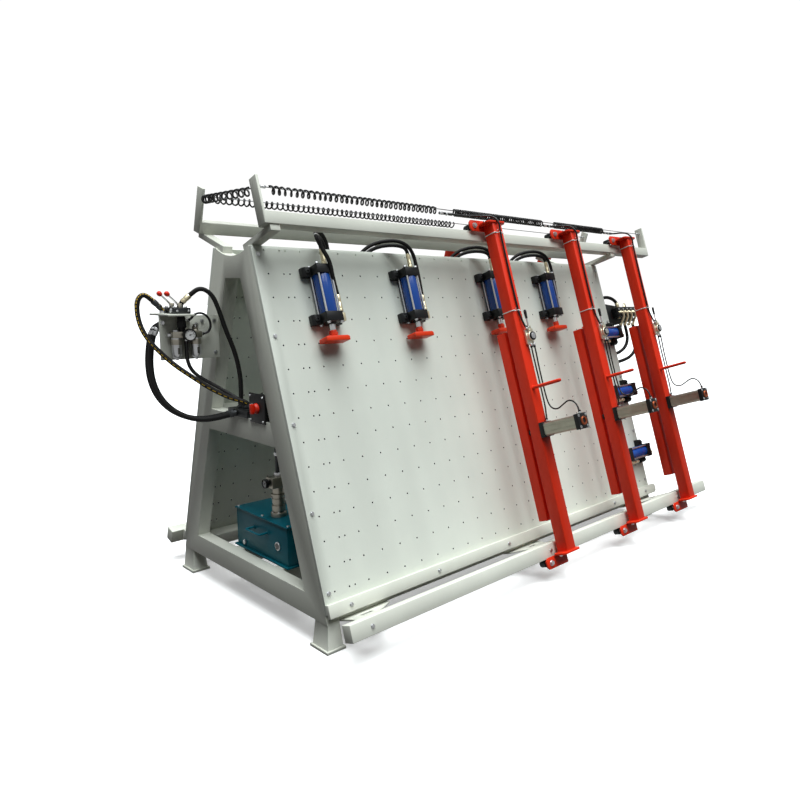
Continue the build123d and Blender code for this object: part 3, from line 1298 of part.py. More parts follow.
# Switch box on the middle bar of the left end frame, with its face plate
with BuildPart() as switch_box:
    with BuildSketch(end_plane(PANEL_LEFT)):
        with Locations((SWITCH_Y, SWITCH_Z)):
            Rectangle(SWITCH_BOX, SWITCH_BOX)
    extrude(amount=SWITCH_DEPTH)
    with BuildSketch(end_plane(SWITCH_FACE)):
        with Locations((SWITCH_Y, SWITCH_Z)):
            Rectangle(SWITCH_PLATE, SWITCH_PLATE)
        chamfer(vertices(), length=SWITCH_PLATE / 16)
    extrude(amount=SWITCH_PLATE_THICK)
save(switch_box.part, "switch_box")

# Rotary knob with a raised grip bar
with BuildPart() as switch_knob:
    knob_back = spot(SWITCH_FACE - KNOB_GAP, SWITCH_Y, SWITCH_Z)
    knob_plane = Plane(origin=knob_back, x_dir=(0, 1, 0), z_dir=(1, 0, 0))
    with BuildSketch(knob_plane):
        eye_profile(SWITCH_KNOB, BARREL_FLATS)
    extrude(amount=-SWITCH_KNOB_DEPTH / 2)
    with BuildSketch(knob_plane.offset(-SWITCH_KNOB_DEPTH / 2)):
        Rectangle(SWITCH_KNOB * 0.3, SWITCH_KNOB * 0.94)
    extrude(amount=-SWITCH_KNOB_DEPTH / 2)
save(switch_knob.part, "switch_knob")
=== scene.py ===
from itertools import product
from math import cos, pi, radians, sin

import bmesh
import bpy
from mathutils import Matrix, Vector


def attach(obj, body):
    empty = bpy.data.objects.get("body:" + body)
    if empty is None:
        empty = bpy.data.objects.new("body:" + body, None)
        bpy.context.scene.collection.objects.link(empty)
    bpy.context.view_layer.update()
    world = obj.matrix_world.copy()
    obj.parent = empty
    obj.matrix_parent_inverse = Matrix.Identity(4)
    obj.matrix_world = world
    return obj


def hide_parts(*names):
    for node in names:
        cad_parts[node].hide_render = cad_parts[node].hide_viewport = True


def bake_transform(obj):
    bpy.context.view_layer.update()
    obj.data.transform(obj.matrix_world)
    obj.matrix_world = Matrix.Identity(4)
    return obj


bl_info = {
    "name": "Frame assembly press",
    "version": (1, 0, 0),
    "blender": (4, 5, 0),
    "location": "View3D > Sidebar > Press",
    "description": "Dresses the leaning frame press in its visible pieces and finishes",
    "category": "Object",
}

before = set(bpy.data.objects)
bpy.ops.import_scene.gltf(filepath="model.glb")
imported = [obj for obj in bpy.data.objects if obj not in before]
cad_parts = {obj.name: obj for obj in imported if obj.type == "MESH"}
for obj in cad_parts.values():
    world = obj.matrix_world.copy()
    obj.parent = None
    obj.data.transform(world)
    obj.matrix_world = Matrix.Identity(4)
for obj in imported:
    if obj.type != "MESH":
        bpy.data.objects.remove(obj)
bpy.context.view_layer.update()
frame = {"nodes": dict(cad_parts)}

# Sizes in millimetres. A side of the machine has its own axes: x along the rails, u up the leaning panel,
# n square out of it. The level axes are x along the rails, y to the rear and z up.
SLOPE = radians(18.2)
S, C = sin(SLOPE), cos(SLOPE)
MM = 0.001
MIDDLE = 121.5
PANEL_Y = 700.38
FRONT = Matrix((
    (MM, 0, 0, MIDDLE * MM),
    (0, S * MM, -C * MM, -PANEL_Y * MM),
    (0, C * MM, S * MM, 0),
    (0, 0, 0, 1),
))
REAR = Matrix.Diagonal((1, -1, 1, 1)) @ FRONT
LEVEL = Matrix(((MM, 0, 0, MIDDLE * MM), (0, MM, 0, 0), (0, 0, MM, 0), (0, 0, 0, 1)))
SIDES = {"front": FRONT, "rear": REAR}
# Swaps the second and third axes, so that an outline is raised along the second
SWAP = Matrix(((1, 0, 0, 0), (0, 0, 1, 0), (0, 1, 0, 0), (0, 0, 0, 1)))
UP = (0, 0, 1)

# The camera, in metres and radians
CAMERA_PLACE = (-2.8025, -2.911, 1.443)
CAMERA_YAW, CAMERA_PITCH, CAMERA_ROLL = radians(47.72), radians(-8.79), radians(0.57)
CAMERA_LENS, CAMERA_SHIFT = 31.41, -0.125

# Panels: two columns of tapped holes at the left, and a grid counted from the fixture hole
FRAME_LEFT = -1445
PANEL_LEFT, PANEL_RIGHT = FRAME_LEFT, 1040
PANEL_LOW, PANEL_HIGH = 168, 1711.4
PANEL_THICK = 16
LEFT_COLUMNS = [-1390, -1290]
HOLE_STEP_X, HOLE_STEP_U, HOLE_LOW = 98.7, 103, 250
FIXTURE_X, FIXTURE_U, FIXTURE_COLUMN, FIXTURE_HOLE = -430, 971, 9, 10.2
RAIL_MIDDLE, RAIL_FACE = 141, 169

# Beams, with their end plates, roller arms, handles, press bars, air cylinders and hand valves
BEAMS = {"front": (-183, 490, 1105), "rear": (232, 640, 1170)}
BEAM_HALF, BEAM_BACK, BEAM_FRONT = 35, 190, 260
BEAM_LOW, BEAM_HIGH = 85, 1808.4
PLATE_HALF, PLATE_OVER, PLATE_THICK, PLATE_CORNER = 68, 6, 10, 14
ARM_END, ARM_HALF, ARM_CORNER, ARM_BACK = 130, 29, 14.5, 182
AXLES, ROLLER_X, ROLLER_BACK, ROLLER_FRONT = (46.6, 1813.8), -95, 123, 159
HANDLE_X, HANDLE_U = -12, 927
TIE_U = (1755, 1336)
BAR_LOW, BAR_HIGH, BAR_BACK, BAR_FRONT, PISTON_END = 247, 1245, 105, 165, 460
CYLINDER_U, CYLINDER_TOP = 706, 745
BODY_START, BODY_END, CAP_END = 287, 487, 514
VALVE_X, VALVE_LOW, VALVE_TOP, VALVE_FACE = 34, 1150, 1230, 277
VALVE_U = (VALVE_LOW + VALVE_TOP) / 2
LEVER_U, LEVER_N = 1239, 282.5

# Rams: places along the panel, then measures out from the panel and along the push
TOP_RAM_X = (-1170, -680, -90, 395)
SIDE_RAM_U = (438, 843, 1231)
TOP_RAM_END, SIDE_RAM_END = 1612, 1030
RAM_AXIS, RAM_BOLT = 50, 32
REAR_CAP, FRONT_CAP_START, RAM_FRONT = 42, 212, 257
BOSS_START, SHOE_START, SHOE_END = 290, 319, 341
FITTING_SIDE, FITTING_OUT, ELBOW_SIDE = 20, 62, 54
ELBOW_START, ELBOW_END = 216, 253

# Trunk bars by their place out of the panel: how far aside the first ram and the others have their ports
TRUNK_TOP = 1684
TRUNK_PORTS = {-30.4: (86, -162), -58: (126, -186)}
MANIFOLD_LOW, MANIFOLD_HIGH, MANIFOLD_FACE = 1345, 1410, 40
MANIFOLD_COLUMNS = (1150, 1200, 1250, 1300)
TAIL_U, TAIL_N, INNER_X, OUTER_X = 1285, 12, MANIFOLD_COLUMNS[1], MANIFOLD_COLUMNS[3]

# Wires and spirals; the third spiral is held on the wire clear of both carriages at their limits
WIRE_U, WIRE_END = 1905.0, 1448
SPIRAL_U, SPIRAL_RADIUS, SPIRAL_TUBE = 1895.0, 17, 8
SPIRAL_START, REAR_SPIRAL_END, HELD_X = -1392, 102, 600
TURN_POINTS, WOUND_RADIUS, WOUND_DROP = 14, SPIRAL_RADIUS - 0.6, 0.3
TEES = (-417, 418, 1045)
TEE_U, TEE_HALF, TEE_CLEAR = SPIRAL_U - 11, 44, 60
POST_X, CROSS_Z, CROSS_HALF = -1454, 1845.0, 212.7

# Tank and pump
TANK_LEFT, TANK_RIGHT, TANK_DEEP = -1365, -990, 230
TANK_FOOT, TANK_TOP, TANK_HANDLE = 221, 405, 340.6
TANK_MIDDLE = (TANK_LEFT + TANK_RIGHT) / 2
PUMP_X, PUMP_Y = -1295, -45
PUMP_LOW, PUMP_TOP, PUMP_PORT = 543, 593, 568

# Controls: bracket, valve block, ball levers, air unit, switch and the bulkhead block below them
BRACKET_LEFT, BRACKET_LOW, BRACKET_FACE = -1703, 1140, 150
SHELF_LOW, SHELF_TOP = 1330, 1338
BLOCK_LEFT, BLOCK_RIGHT, BLOCK_TOP = -1661, -1591, 1364
SPOOLS, SPOOL_Z = (117, 193), 1351
PIVOT_X, PIVOT_Z = -1629, 1373
SHELF_PORT, VALVE_PORT = (-1675, 178), (-1609, 155)
UNIT_LEFT, UNIT_RIGHT, UNIT_FACE = -1668, -1540, 104
UNIT_LOW, UNIT_TOP, UNIT_Z = 1235, 1263, 1249
BOWLS = (-1646, -1562)
KNOB_X, KNOB_Z, GAUGE_X, UNIT_Y = -1619, 1278.4, -1604, 127
SWITCH_FACE, SWITCH_Y, SWITCH_Z = -1451, -170, 942
BULKHEAD_LEFT, BULKHEAD_LOW, BULKHEAD_TOP = -1453, 888, 918
PORT_X, SUPPLY_INLETS, SUPPLY_Y, SUPPLY_Z = -1415, (178, 206), (5, 33), 903

# One broken line of print along a hose: its side, its half width and its count of dashes
STRIPE_SIDE, STRIPE_HALF, STRIPE_DASHES = 0.25, 0.035, 840 / 18

# Ram hoses of the first ram and of the others: sideways, back and out from the end of the ram
RAM_ROUTES = {
    "rear": ([
        (20, 75, 62), (21, 102, 62), (22, 124, 58), (30, 142, 40), (60, 146, 12), (92, 130, -14),
        (100, 102, -27), (86, 72, -30.4),
    ], [
        (20, 75, 62), (20, 100, 62), (-4, 118, 52), (-48, 129, 28), (-98, 128, 0), (-138, 115, -24),
        (-162, 93, -30.4), (-162, 72, -30.4),
    ]),
    "front": ([
        (54, -133, 62), (44, -100, 72), (32, -53, 86), (22, 6, 102), (-4, 60, 104), (-8, 110, 86),
        (4, 148, 66), (36, 170, 34), (86, 170, 0), (124, 146, -34), (134, 100, -52), (126, 72, -58),
    ], [
        (54, -133, 62), (57, -53.2, 65), (56, 37.5, 66), (50, 86, 66), (30, 126, 58), (-14, 150, 40),
        (-70, 154, 10), (-124, 144, -20), (-166, 117, -44), (-186, 90, -58), (-186, 72, -58),
    ]),
}
MANIFOLD_ROUTES = {
    "outer": [
        (OUTER_X, TAIL_U, TAIL_N), (OUTER_X + 6, TAIL_U - 60, TAIL_N),
        (OUTER_X - 2, TAIL_U - 124, TAIL_N - 4), (OUTER_X - 36, TAIL_U - 180, TAIL_N - 12),
        (OUTER_X - 95, TAIL_U - 216, TAIL_N - 24),
        (OUTER_X - 160, TAIL_U - 230, TAIL_N - 40), (PANEL_RIGHT + 46, TAIL_U - 236, TAIL_N - 50),
        (PANEL_RIGHT, TAIL_U - 238, TAIL_N - 57),
    ],
    "inner": [
        (INNER_X, TAIL_U, TAIL_N), (INNER_X + 4, TAIL_U - 55, TAIL_N),
        (INNER_X - 8, TAIL_U - 110, TAIL_N - 6), (INNER_X - 42, TAIL_U - 150, TAIL_N - 17),
        (INNER_X - 90, TAIL_U - 173, TAIL_N - 34),
        (PANEL_RIGHT + 30, TAIL_U - 180, TAIL_N - 46), (PANEL_RIGHT, TAIL_U - 183, TAIL_N - 56),
    ],
    "top": [
        (1040, 1480, -45), (1078, 1496, -38), (1122, 1498, -24), (1152, 1478, -4), (1165, 1445, 12),
        (1165, 1410, 12),
    ],
}
# Control, supply and air lines, on the level axes
CONTROL_ROUTES = {
    "shelf": [
        (*SHELF_PORT, SHELF_TOP), (*SHELF_PORT, 1356), (-1712, 185, 1394), (-1744, 191, 1422),
        (-1769, 195, 1396), (-1775, 190, 1338), (-1768, 174, 1276), (-1746, 152, 1222), (-1712, 126, 1172),
        (-1671, 98, 1122), (-1617, 64, 1072), (-1552, 28, 1016), (-1485, -16, 972), (-1421, -58, 952),
        (PORT_X, -60, BULKHEAD_TOP),
    ],
    "valve": [
        (*VALVE_PORT, BLOCK_TOP), (*VALVE_PORT, 1380), (-1574, 144, 1414), (-1530, 129, 1452),
        (-1484, 114, 1422), (-1462, 102, 1350), (-1442, 90, 1262), (-1413, 76, 1172), (-1401, 61, 1080),
        (-1404, 48, 992), (PORT_X, 40, BULKHEAD_TOP),
    ],
}
SUPPLY_ROUTE = [
    (-1679, 178, 1290), (-1701, 178, 1285), (-1719, 184, 1246), (-1731, 184, 1186), (-1739, 180, 1116),
    (-1737, 168, 1044), (-1717, 146, 974), (-1675, 118, 918), (-1611, 84, 882), (-1533, 46, 878),
    (BULKHEAD_LEFT, 5, SUPPLY_Z),
]
AIR_ROUTES = {
    "arch": [
        (-1582, 150, 1310), (-1582, 126, 1310), (-1566, 116, 1339), (-1526, 116, 1341), (-1497, 119, 1309),
        (-1494, 123, 1271), (-1514, 127, 1249), (UNIT_RIGHT, UNIT_Y, UNIT_Z),
    ],
    "drop": [
        (GAUGE_X, UNIT_Y, UNIT_LOW), (-1604, 127, 1191), (-1607, 123, 1141), (-1596, 113, 1095),
        (-1564, 97, 1059), (-1518, 75, 1027), (-1470, 39, 989), (-1425, -2, 952), (PORT_X, -10, BULKHEAD_TOP),
    ],
}
AIR_DIAMETERS = {"arch": 10, "drop": 16}


def linear(code):
    """A colour written as sRGB hex, as linear red, green, blue and alpha."""
    parts = [int(code[i:i + 2], 16) / 255 for i in (1, 3, 5)]
    return (*(p / 12.92 if p <= 0.04045 else ((p + 0.055) / 1.055) ** 2.4 for p in parts), 1.0)


def shade(colour, share):
    """A colour made lighter or darker by a share."""
    return (*(min(1.0, part * share) for part in colour[:3]), 1.0)


def fill(tree, node, sockets):
    """Fills or links the sockets of a shader node."""
    for name, value in sockets.items():
        if isinstance(value, bpy.types.NodeSocket):
            tree.links.new(value, node.inputs[name])
        else:
            node.inputs[name].default_value = value


def add(tree, kind, sockets, **settings):
    """Adds a shader node, sets its options, and fills or links its sockets."""
    node = tree.nodes.new("ShaderNode" + kind)
    for name, value in settings.items():
        setattr(node, name, value)
    fill(tree, node, sockets)
    return node


def remap(tree, value, start=0.0, stop=1.0, low=0.0, high=1.0):
    """Maps a range of a value to another range."""
    return add(tree, "MapRange", {
        "Value": value, "From Min": start, "From Max": stop, "To Min": low, "To Max": high,
    }).outputs["Result"]


def maths(tree, operation, first, second=0.5):
    """One step of arithmetic."""
    return add(tree, "Math", {0: first, 1: second}, operation=operation).outputs["Value"]


def mix(tree, factor, low, high):
    """A colour between two colours."""
    return add(tree, "Mix", {"Factor": factor, "A": low, "B": high}, data_type="RGBA").outputs[2]


def between(tree, factor, low, high, start=0.3, stop=0.7):
    """Spreads a pattern over the colours between two."""
    return mix(tree, remap(tree, factor, start, stop), low, high)


def start_finish(name):
    """A new material: its node tree, its surface shader and its Object coordinates."""
    material = bpy.data.materials.new(name)
    material.use_nodes = True
    tree = material.node_tree
    place = add(tree, "TexCoord", {})
    return tree, tree.nodes["Principled BSDF"], place.outputs["Object"]


def grain(tree, place, size_mm, stretch=(1, 1, 1), detail=3.0):
    """Even noise whose grains are a given number of millimetres across."""
    scaled = add(tree, "Mapping", {"Vector": place, "Scale": stretch})
    return add(tree, "TexNoise", {
        "Vector": scaled.outputs["Vector"], "Scale": 1000 / size_mm, "Detail": detail,
    }).outputs["Fac"]


def dent(tree, shader, factor, depth_mm, strength):
    """Raises a pattern as bump of a given depth."""
    bump = add(tree, "Bump", {"Height": factor, "Distance": depth_mm * MM, "Strength": strength})
    fill(tree, shader, {"Normal": bump.outputs["Normal"]})


def painted_steel(name, colour, roughness, peel_mm=4.0, edge=None, coat=0.0, sheen=0.5):
    """Sprayed enamel on welded steel: soft sheen, faint orange peel, cloudy thickness, rubbed edges."""
    tree, shader, place = start_finish(name)
    cloud = grain(tree, place, 260, detail=4.0)
    tone = between(tree, cloud, shade(colour, 0.93), shade(colour, 1.05))
    dirt = remap(tree, grain(tree, place, 9, detail=5.0), 0.66, 0.8, high=0.3)
    tone = mix(tree, dirt, tone, shade(colour, 0.6))
    if edge:
        # Rubbed edges: where a rounded normal leaves the true one, bare metal or worn paint shows
        soft = add(tree, "Bevel", {"Radius": 3.5 * MM}, samples=4).outputs["Normal"]
        true = add(tree, "NewGeometry", {}).outputs["Normal"]
        level = add(tree, "VectorMath", {0: soft, 1: true}, operation="DOT_PRODUCT").outputs["Value"]
        patch = remap(tree, grain(tree, place, 35, detail=5.0), 0.46, 0.66, high=0.8)
        wear = maths(tree, "MULTIPLY", remap(tree, level, 0.985, 0.9), patch)
        tone = mix(tree, wear, tone, linear(edge))
    fill(tree, shader, {
        "Base Color": tone, "Roughness": remap(tree, cloud, low=roughness - 0.05, high=roughness + 0.08),
        "IOR": 1.5, "Specular IOR Level": sheen, "Coat Weight": coat, "Coat Roughness": 0.12,
    })
    # Orange peel is really about 1.5 mm; drawn coarser so that it shows
    dent(tree, shader, grain(tree, place, peel_mm, detail=1.0), 0.12, 0.35)


def panel_enamel(name, colour):
    """Rolled plate under sprayed enamel: faint upright streaks of painted reflection and a satin, dusty face.
    """
    tree, shader, place = start_finish(name)
    # Painted reflection: upright streaks, lighter and darker along the plate, mixed half and half with a
    # cloudy tone
    painted_reflection_streaks = grain(tree, place, 190, stretch=(1, 0.05, 0.05), detail=2.0)
    cloud = grain(tree, place, 420, detail=3.0)
    half = maths(tree, "MULTIPLY", maths(tree, "ADD", painted_reflection_streaks, cloud), 0.5)
    tone = between(tree, half, shade(colour, 0.95), shade(colour, 1.04), 0.4, 0.6)
    scuff = remap(tree, grain(tree, place, 28, stretch=(1, 1, 6), detail=6.0), 0.68, 0.8, high=0.25)
    fill(tree, shader, {
        "Base Color": mix(tree, scuff, tone, shade(colour, 0.72)),
        "Roughness": remap(tree, cloud, low=0.4, high=0.55), "IOR": 1.5,
    })
    # The sprayed texture is about 2 mm; drawn at 5 mm so that it shows
    dent(tree, shader, grain(tree, place, 5, detail=1.0), 0.15, 0.3)


def bare_metal(name, code, roughness, grain_mm, stretch=(1, 1, 1), depth_mm=0.03):
    """Bare or plated metal: bright, with machining or drawing marks in one direction."""
    tree, shader, place = start_finish(name)
    colour = linear(code)
    marks = grain(tree, place, grain_mm, stretch=stretch, detail=4.0)
    stain = grain(tree, place, 60, detail=5.0)
    fill(tree, shader, {
        "Base Color": between(tree, stain, shade(colour, 0.82), shade(colour, 1.06)),
        "Roughness": remap(tree, marks, low=roughness * 0.7, high=roughness * 1.4), "Metallic": 1.0,
    })
    dent(tree, shader, marks, depth_mm, 0.4)


def moulded_plastic(name, code, roughness, grain_mm=3.0, sheen=0.5):
    """Injection-moulded plastic: even colour, fine spark-eroded grain, dust in the hollows."""
    tree, shader, place = start_finish(name)
    colour = linear(code)
    dust = grain(tree, place, 18, detail=5.0)
    fill(tree, shader, {
        "Base Color": between(tree, dust, shade(colour, 0.85), shade(colour, 1.25)),
        "Roughness": remap(tree, dust, low=roughness - 0.06, high=roughness + 0.1),
        "IOR": 1.49, "Specular IOR Level": sheen,
    })
    dent(tree, shader, grain(tree, place, grain_mm, detail=2.0), 0.05, 0.3)


def hose_cover(name, code, stripe=None):
    """Rubber hose cover: cloth-wrapped surface with a fine cross weave, scuffed paler on its bends."""
    tree, shader, place = start_finish(name)
    colour = linear(code)
    tone = between(tree, grain(tree, place, 22, detail=5.0), colour, shade(colour, 1.8), 0.45, 0.8)
    if stripe:
        # The hose's own map runs along it in X and round it in Y
        layout = add(tree, "TexCoord", {}).outputs["UV"]
        split = add(tree, "SeparateXYZ", {"Vector": layout})
        aside = maths(tree, "SUBTRACT", split.outputs["Y"], STRIPE_SIDE)
        line = maths(tree, "LESS_THAN", maths(tree, "ABSOLUTE", aside), STRIPE_HALF)
        count = maths(tree, "MULTIPLY", split.outputs["X"], STRIPE_DASHES)
        dash = maths(tree, "LESS_THAN", maths(tree, "FRACT", count), 0.62)
        tone = mix(tree, maths(tree, "MULTIPLY", line, dash), tone, linear(stripe))
    fill(tree, shader, {"Base Color": tone, "Roughness": 0.6, "IOR": 1.52, "Specular IOR Level": 0.2})
    cross = add(tree, "TexWave", {"Vector": place, "Scale": 100.0}, bands_direction="DIAGONAL")
    dent(tree, shader, cross.outputs["Fac"], 0.25, 0.35)


def smoked_bowl(name, code):
    """Clear polycarbonate bowl, smoked grey, with a film of oil mist inside."""
    tree, shader, place = start_finish(name)
    colour = linear(code)
    film = grain(tree, place, 25, detail=4.0)
    fill(tree, shader, {
        "Base Color": between(tree, film, colour, shade(colour, 1.5)), "Roughness": 0.16, "IOR": 1.585,
        "Transmission Weight": 0.55,
    })
    dent(tree, shader, film, 0.1, 0.2)


def join(bm, form, finish=None, place=None):
    """Adds a finished form to a piece, painted, with its faces turned outwards."""
    if place is not None:
        bmesh.ops.transform(form, matrix=place, verts=form.verts)
    bmesh.ops.recalc_face_normals(form, faces=form.faces)
    if finish is not None:
        for face in form.faces:
            face.material_index = finish
    mesh = bpy.data.meshes.new("form")
    form.to_mesh(mesh)
    form.free()
    bm.from_mesh(mesh)
    bpy.data.meshes.remove(mesh)


def placed(bm, build, place, *settings):
    """Builds a form in its own axes and adds it to a piece at its place."""
    form = bmesh.new()
    build(form, *settings)
    join(bm, form, None, place)


def ease(form, edges, width):
    """Rounds the given edges."""
    bmesh.ops.bevel(
        form, geom=list(edges), offset=width, offset_type="OFFSET", affect="EDGES",
        segments=2, profile=0.5, material=-1, clamp_overlap=True,
    )


def block(bm, low, high, finish=0, edge=1.0):
    """A box between two corners with rounded edges."""
    form = bmesh.new()
    size = [top - bottom for bottom, top in zip(low, high)]
    centre = [(top + bottom) / 2 for bottom, top in zip(low, high)]
    matrix = Matrix.Translation(centre) @ Matrix.Diagonal((*size, 1))
    bmesh.ops.create_cube(form, size=1, matrix=matrix)
    if edge:
        ease(form, form.edges, edge)
    join(bm, form, finish)


def plate(bm, outline, low, high, finish=0, edge=1.0, place=None):
    """A flat outline raised from one height to another, with rounded edges."""
    form = bmesh.new()
    base = form.faces.new([form.verts.new((x, y, low)) for x, y in outline])
    raised = bmesh.ops.extrude_face_region(form, geom=[base], use_keep_orig=True)
    tops = [item for item in raised["geom"] if isinstance(item, bmesh.types.BMVert)]
    bmesh.ops.translate(form, verts=tops, vec=(0, 0, high - low))
    if edge:
        ease(form, form.edges, edge)
    join(bm, form, finish, place)


def rod(bm, start, end, diameter, finish=0, far=None, sides=24, edge=0.0):
    """A round or many-sided bar between two points, tapered where the far diameter differs."""
    form = bmesh.new()
    start, end = Vector(start), Vector(end)
    along = end - start
    matrix = Matrix.Translation((start + end) / 2) @ along.to_track_quat("Z", "Y").to_matrix().to_4x4()
    bmesh.ops.create_cone(
        form, cap_ends=True, cap_tris=False, segments=sides, radius1=diameter / 2,
        radius2=(diameter if far is None else far) / 2, depth=along.length, matrix=matrix,
    )
    if edge:
        rims = [e for e in form.edges if any(len(f.verts) == sides for f in e.link_faces)]
        ease(form, rims, edge)
    join(bm, form, finish)


def nut(bm, start, end, wide, finish=0, edge=1.0):
    """A hexagon between two points, of a given width over its corners."""
    rod(bm, start, end, wide, finish, sides=6, edge=edge)


def turned(bm, start, along, profile, finish=0, sides=32):
    """A turned form: pairs of distance and radius along an axis, spun about it."""
    form = bmesh.new()
    start, along = Vector(start), Vector(along).normalized()
    side = along.orthogonal().normalized()
    points = [form.verts.new(start + along * far + side * out) for far, out in profile]
    line = [form.edges.new(pair) for pair in zip(points, points[1:])]
    bmesh.ops.spin(
        form, geom=points + line, cent=start, axis=along, angle=2 * pi, steps=sides, use_merge=True,
    )
    bmesh.ops.remove_doubles(form, verts=form.verts, dist=1e-4)
    join(bm, form, finish)


def bolt(bm, point, along, size, finish=0):
    """A hexagon bolt head on a washer, standing out along an axis."""
    point, along = Vector(point), Vector(along).normalized()
    thick = size * 0.16
    seat, top = point + along * thick, point + along * (thick + size * 0.62)
    rod(bm, point, seat, size * 2.1, finish, sides=16)
    rod(bm, seat, top, size * 1.75, finish, sides=6, far=size * 1.62)


def cap_screw(bm, point, along, size, finish=0):
    """A socket-head screw: a round head with a sunk socket."""
    head = size * 0.75
    turned(bm, point, along, [
        (0, size * 0.75), (head * 0.85, size * 0.75), (head, size * 0.66), (head, size * 0.4),
        (head * 0.4, size * 0.36), (head * 0.4, 0),
    ], finish, sides=12)


def gauge(bm, start, along, diameter, depth, case, card):
    """A dial gauge: case and bezel, card, nine scale marks and a needle."""
    start, along = Vector(start), Vector(along).normalized()
    half = diameter / 2
    turned(bm, start, along, [
        (0, 0), (0, half * 0.4), (depth * 0.3, half * 0.4), (depth * 0.35, half), (depth, half),
        (depth, half * 0.86), (depth - 3, half * 0.84),
    ], case, sides=36)
    face = start + along * (depth - 3.4)
    rod(bm, face - along * 0.5, face + along * 0.4, diameter * 0.86, card, sides=36)
    up = Vector(UP)
    right = along.cross(up)
    for step in range(9):
        angle = radians(-120 + 30 * step)
        ray = up * cos(angle) + right * sin(angle)
        inner, outer = face + ray * half * 0.58 + along * 0.5, face + ray * half * 0.76 + along * 0.5
        rod(bm, inner, outer, 1.4, case, sides=4)
    ray = up * cos(radians(-70)) + right * sin(radians(-70))
    rod(bm, face - ray * half * 0.2 + along, face + ray * half * 0.62 + along, 2.0, case, far=0.8, sides=4)
    rod(bm, face, face + along * 2, 5, case, sides=12)


def mesh_object(name, bm):
    """Puts a form in the scene as an object of its own."""
    mesh = bpy.data.meshes.new(name)
    bm.to_mesh(mesh)
    bm.free()
    obj = bpy.data.objects.new(name, mesh)
    bpy.context.scene.collection.objects.link(obj)
    return obj


def carve(bm, tool):
    """Cuts one form out of another."""
    solid, drill = mesh_object("solid", bm), mesh_object("tool", tool)
    cut = solid.modifiers.new("cut", "BOOLEAN")
    cut.operation = "DIFFERENCE"
    cut.solver = "EXACT"
    cut.object = drill
    ready = solid.evaluated_get(bpy.context.evaluated_depsgraph_get())
    result = bpy.data.meshes.new_from_object(ready)
    bpy.data.objects.remove(solid)
    bpy.data.objects.remove(drill)
    form = bmesh.new()
    form.from_mesh(result)
    bpy.data.meshes.remove(result)
    return form


def declare(obj, body, covers):
    """Says what an object rides on and which solids it stands for."""
    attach(obj, body)
    if covers:
        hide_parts(*covers)


def smooth(mesh):
    """Shades a mesh smooth."""
    mesh.polygons.foreach_set("use_smooth", [True] * len(mesh.polygons))


def piece(name, bm, finishes, body, covers, place=None, sharp=38):
    """Makes a visible object of a form, smooth but for its sharp edges."""
    if place is not None:
        bmesh.ops.transform(bm, matrix=place, verts=bm.verts)
        if place.determinant() < 0:
            bmesh.ops.reverse_faces(bm, faces=bm.faces)
    obj = mesh_object(name, bm)
    for finish in finishes:
        obj.data.materials.append(bpy.data.materials[finish])
    smooth(obj.data)
    obj.data.set_sharp_from_angle(angle=radians(sharp))
    declare(obj, body, covers)


def softened(name, node, finish, body, width_mm):
    """A copy of a solid with its doubles merged, flat faces joined and sharp edges rounded."""
    bm = bmesh.new()
    bm.from_mesh(frame["nodes"][node].data)
    bmesh.ops.remove_doubles(bm, verts=bm.verts, dist=1e-5)
    bmesh.ops.dissolve_limit(bm, angle_limit=radians(1), verts=bm.verts, edges=bm.edges)
    corners = [e for e in bm.edges if len(e.link_faces) == 2 and e.calc_face_angle() > radians(25)]
    ease(bm, corners, width_mm * MM)
    for face in bm.faces:
        face.material_index = 0
    piece(name, bm, [finish], body, [node])


def spline(name, points, diameter):
    """A smooth round curve with the given points as its control points."""
    data = bpy.data.curves.new(name, "CURVE")
    data.dimensions = "3D"
    data.resolution_u = 6
    run = data.splines.new("NURBS")
    run.points.add(len(points) - 1)
    for control, point in zip(run.points, points):
        control.co = (*point, 1.0)
        control.radius = diameter / 2
    run.order_u = 3
    run.use_endpoint_u = True
    data.use_fill_caps = True
    data.bevel_resolution = 4
    data.bevel_depth = 1.0
    return bpy.data.objects.new(name, data)


def walk(curve):
    """Points along a curve, read from its spline with no thickness."""
    thick = curve.data.bevel_depth
    curve.data.bevel_depth = 0
    mesh = bpy.data.meshes.new_from_object(curve)
    points = [vertex.co.copy() for vertex in mesh.vertices]
    bpy.data.meshes.remove(mesh)
    curve.data.bevel_depth = thick
    return points


def measure(points):
    """Length along points."""
    return sum((b - a).length for a, b in zip(points, points[1:]))


def partway(points, distance):
    """The point at a distance along points."""
    for a, b in zip(points, points[1:]):
        step = (b - a).length
        if distance <= step:
            return a.lerp(b, distance / step)
        distance -= step
    return points[-1]


def pipe(bm, points, diameter, finish=0):
    """A bent pipe along a smooth line."""
    curve = spline("pipe", points, diameter)
    mesh = bpy.data.meshes.new_from_object(curve)
    bpy.data.curves.remove(curve.data)
    form = bmesh.new()
    form.from_mesh(mesh)
    bpy.data.meshes.remove(mesh)
    join(bm, form, finish)


def ferrule(bm, curve, start, length, diameter, finish=0, end=False):
    """A crimped sleeve round a hose, at a distance from its start or its end."""
    points = [LEVEL.inverted() @ point for point in walk(curve)]
    if end:
        points.reverse()
    first, last = partway(points, start), partway(points, start + length)
    half = diameter / 2
    turned(bm, first, last - first, [
        (0, half * 0.7), (0, half * 0.94), (1.5, half), (length * 0.3, half), (length * 0.33, half * 0.9),
        (length * 0.45, half * 0.9), (length * 0.48, half), (length - 2, half), (length, half * 0.9),
        (length, half * 0.7), (0, half * 0.7),
    ], finish, sides=24)


def hose(name, points, diameter, finish, body, place, covers):
    """A free hose along a route, from one fitting to another."""
    route = [place @ Vector(point) for point in points]
    curve = spline(name, route, diameter * MM)
    bpy.context.scene.collection.objects.link(curve)
    curve.data.materials.append(bpy.data.materials[finish])
    declare(curve, body, covers)
    measure(walk(curve))
    return curve


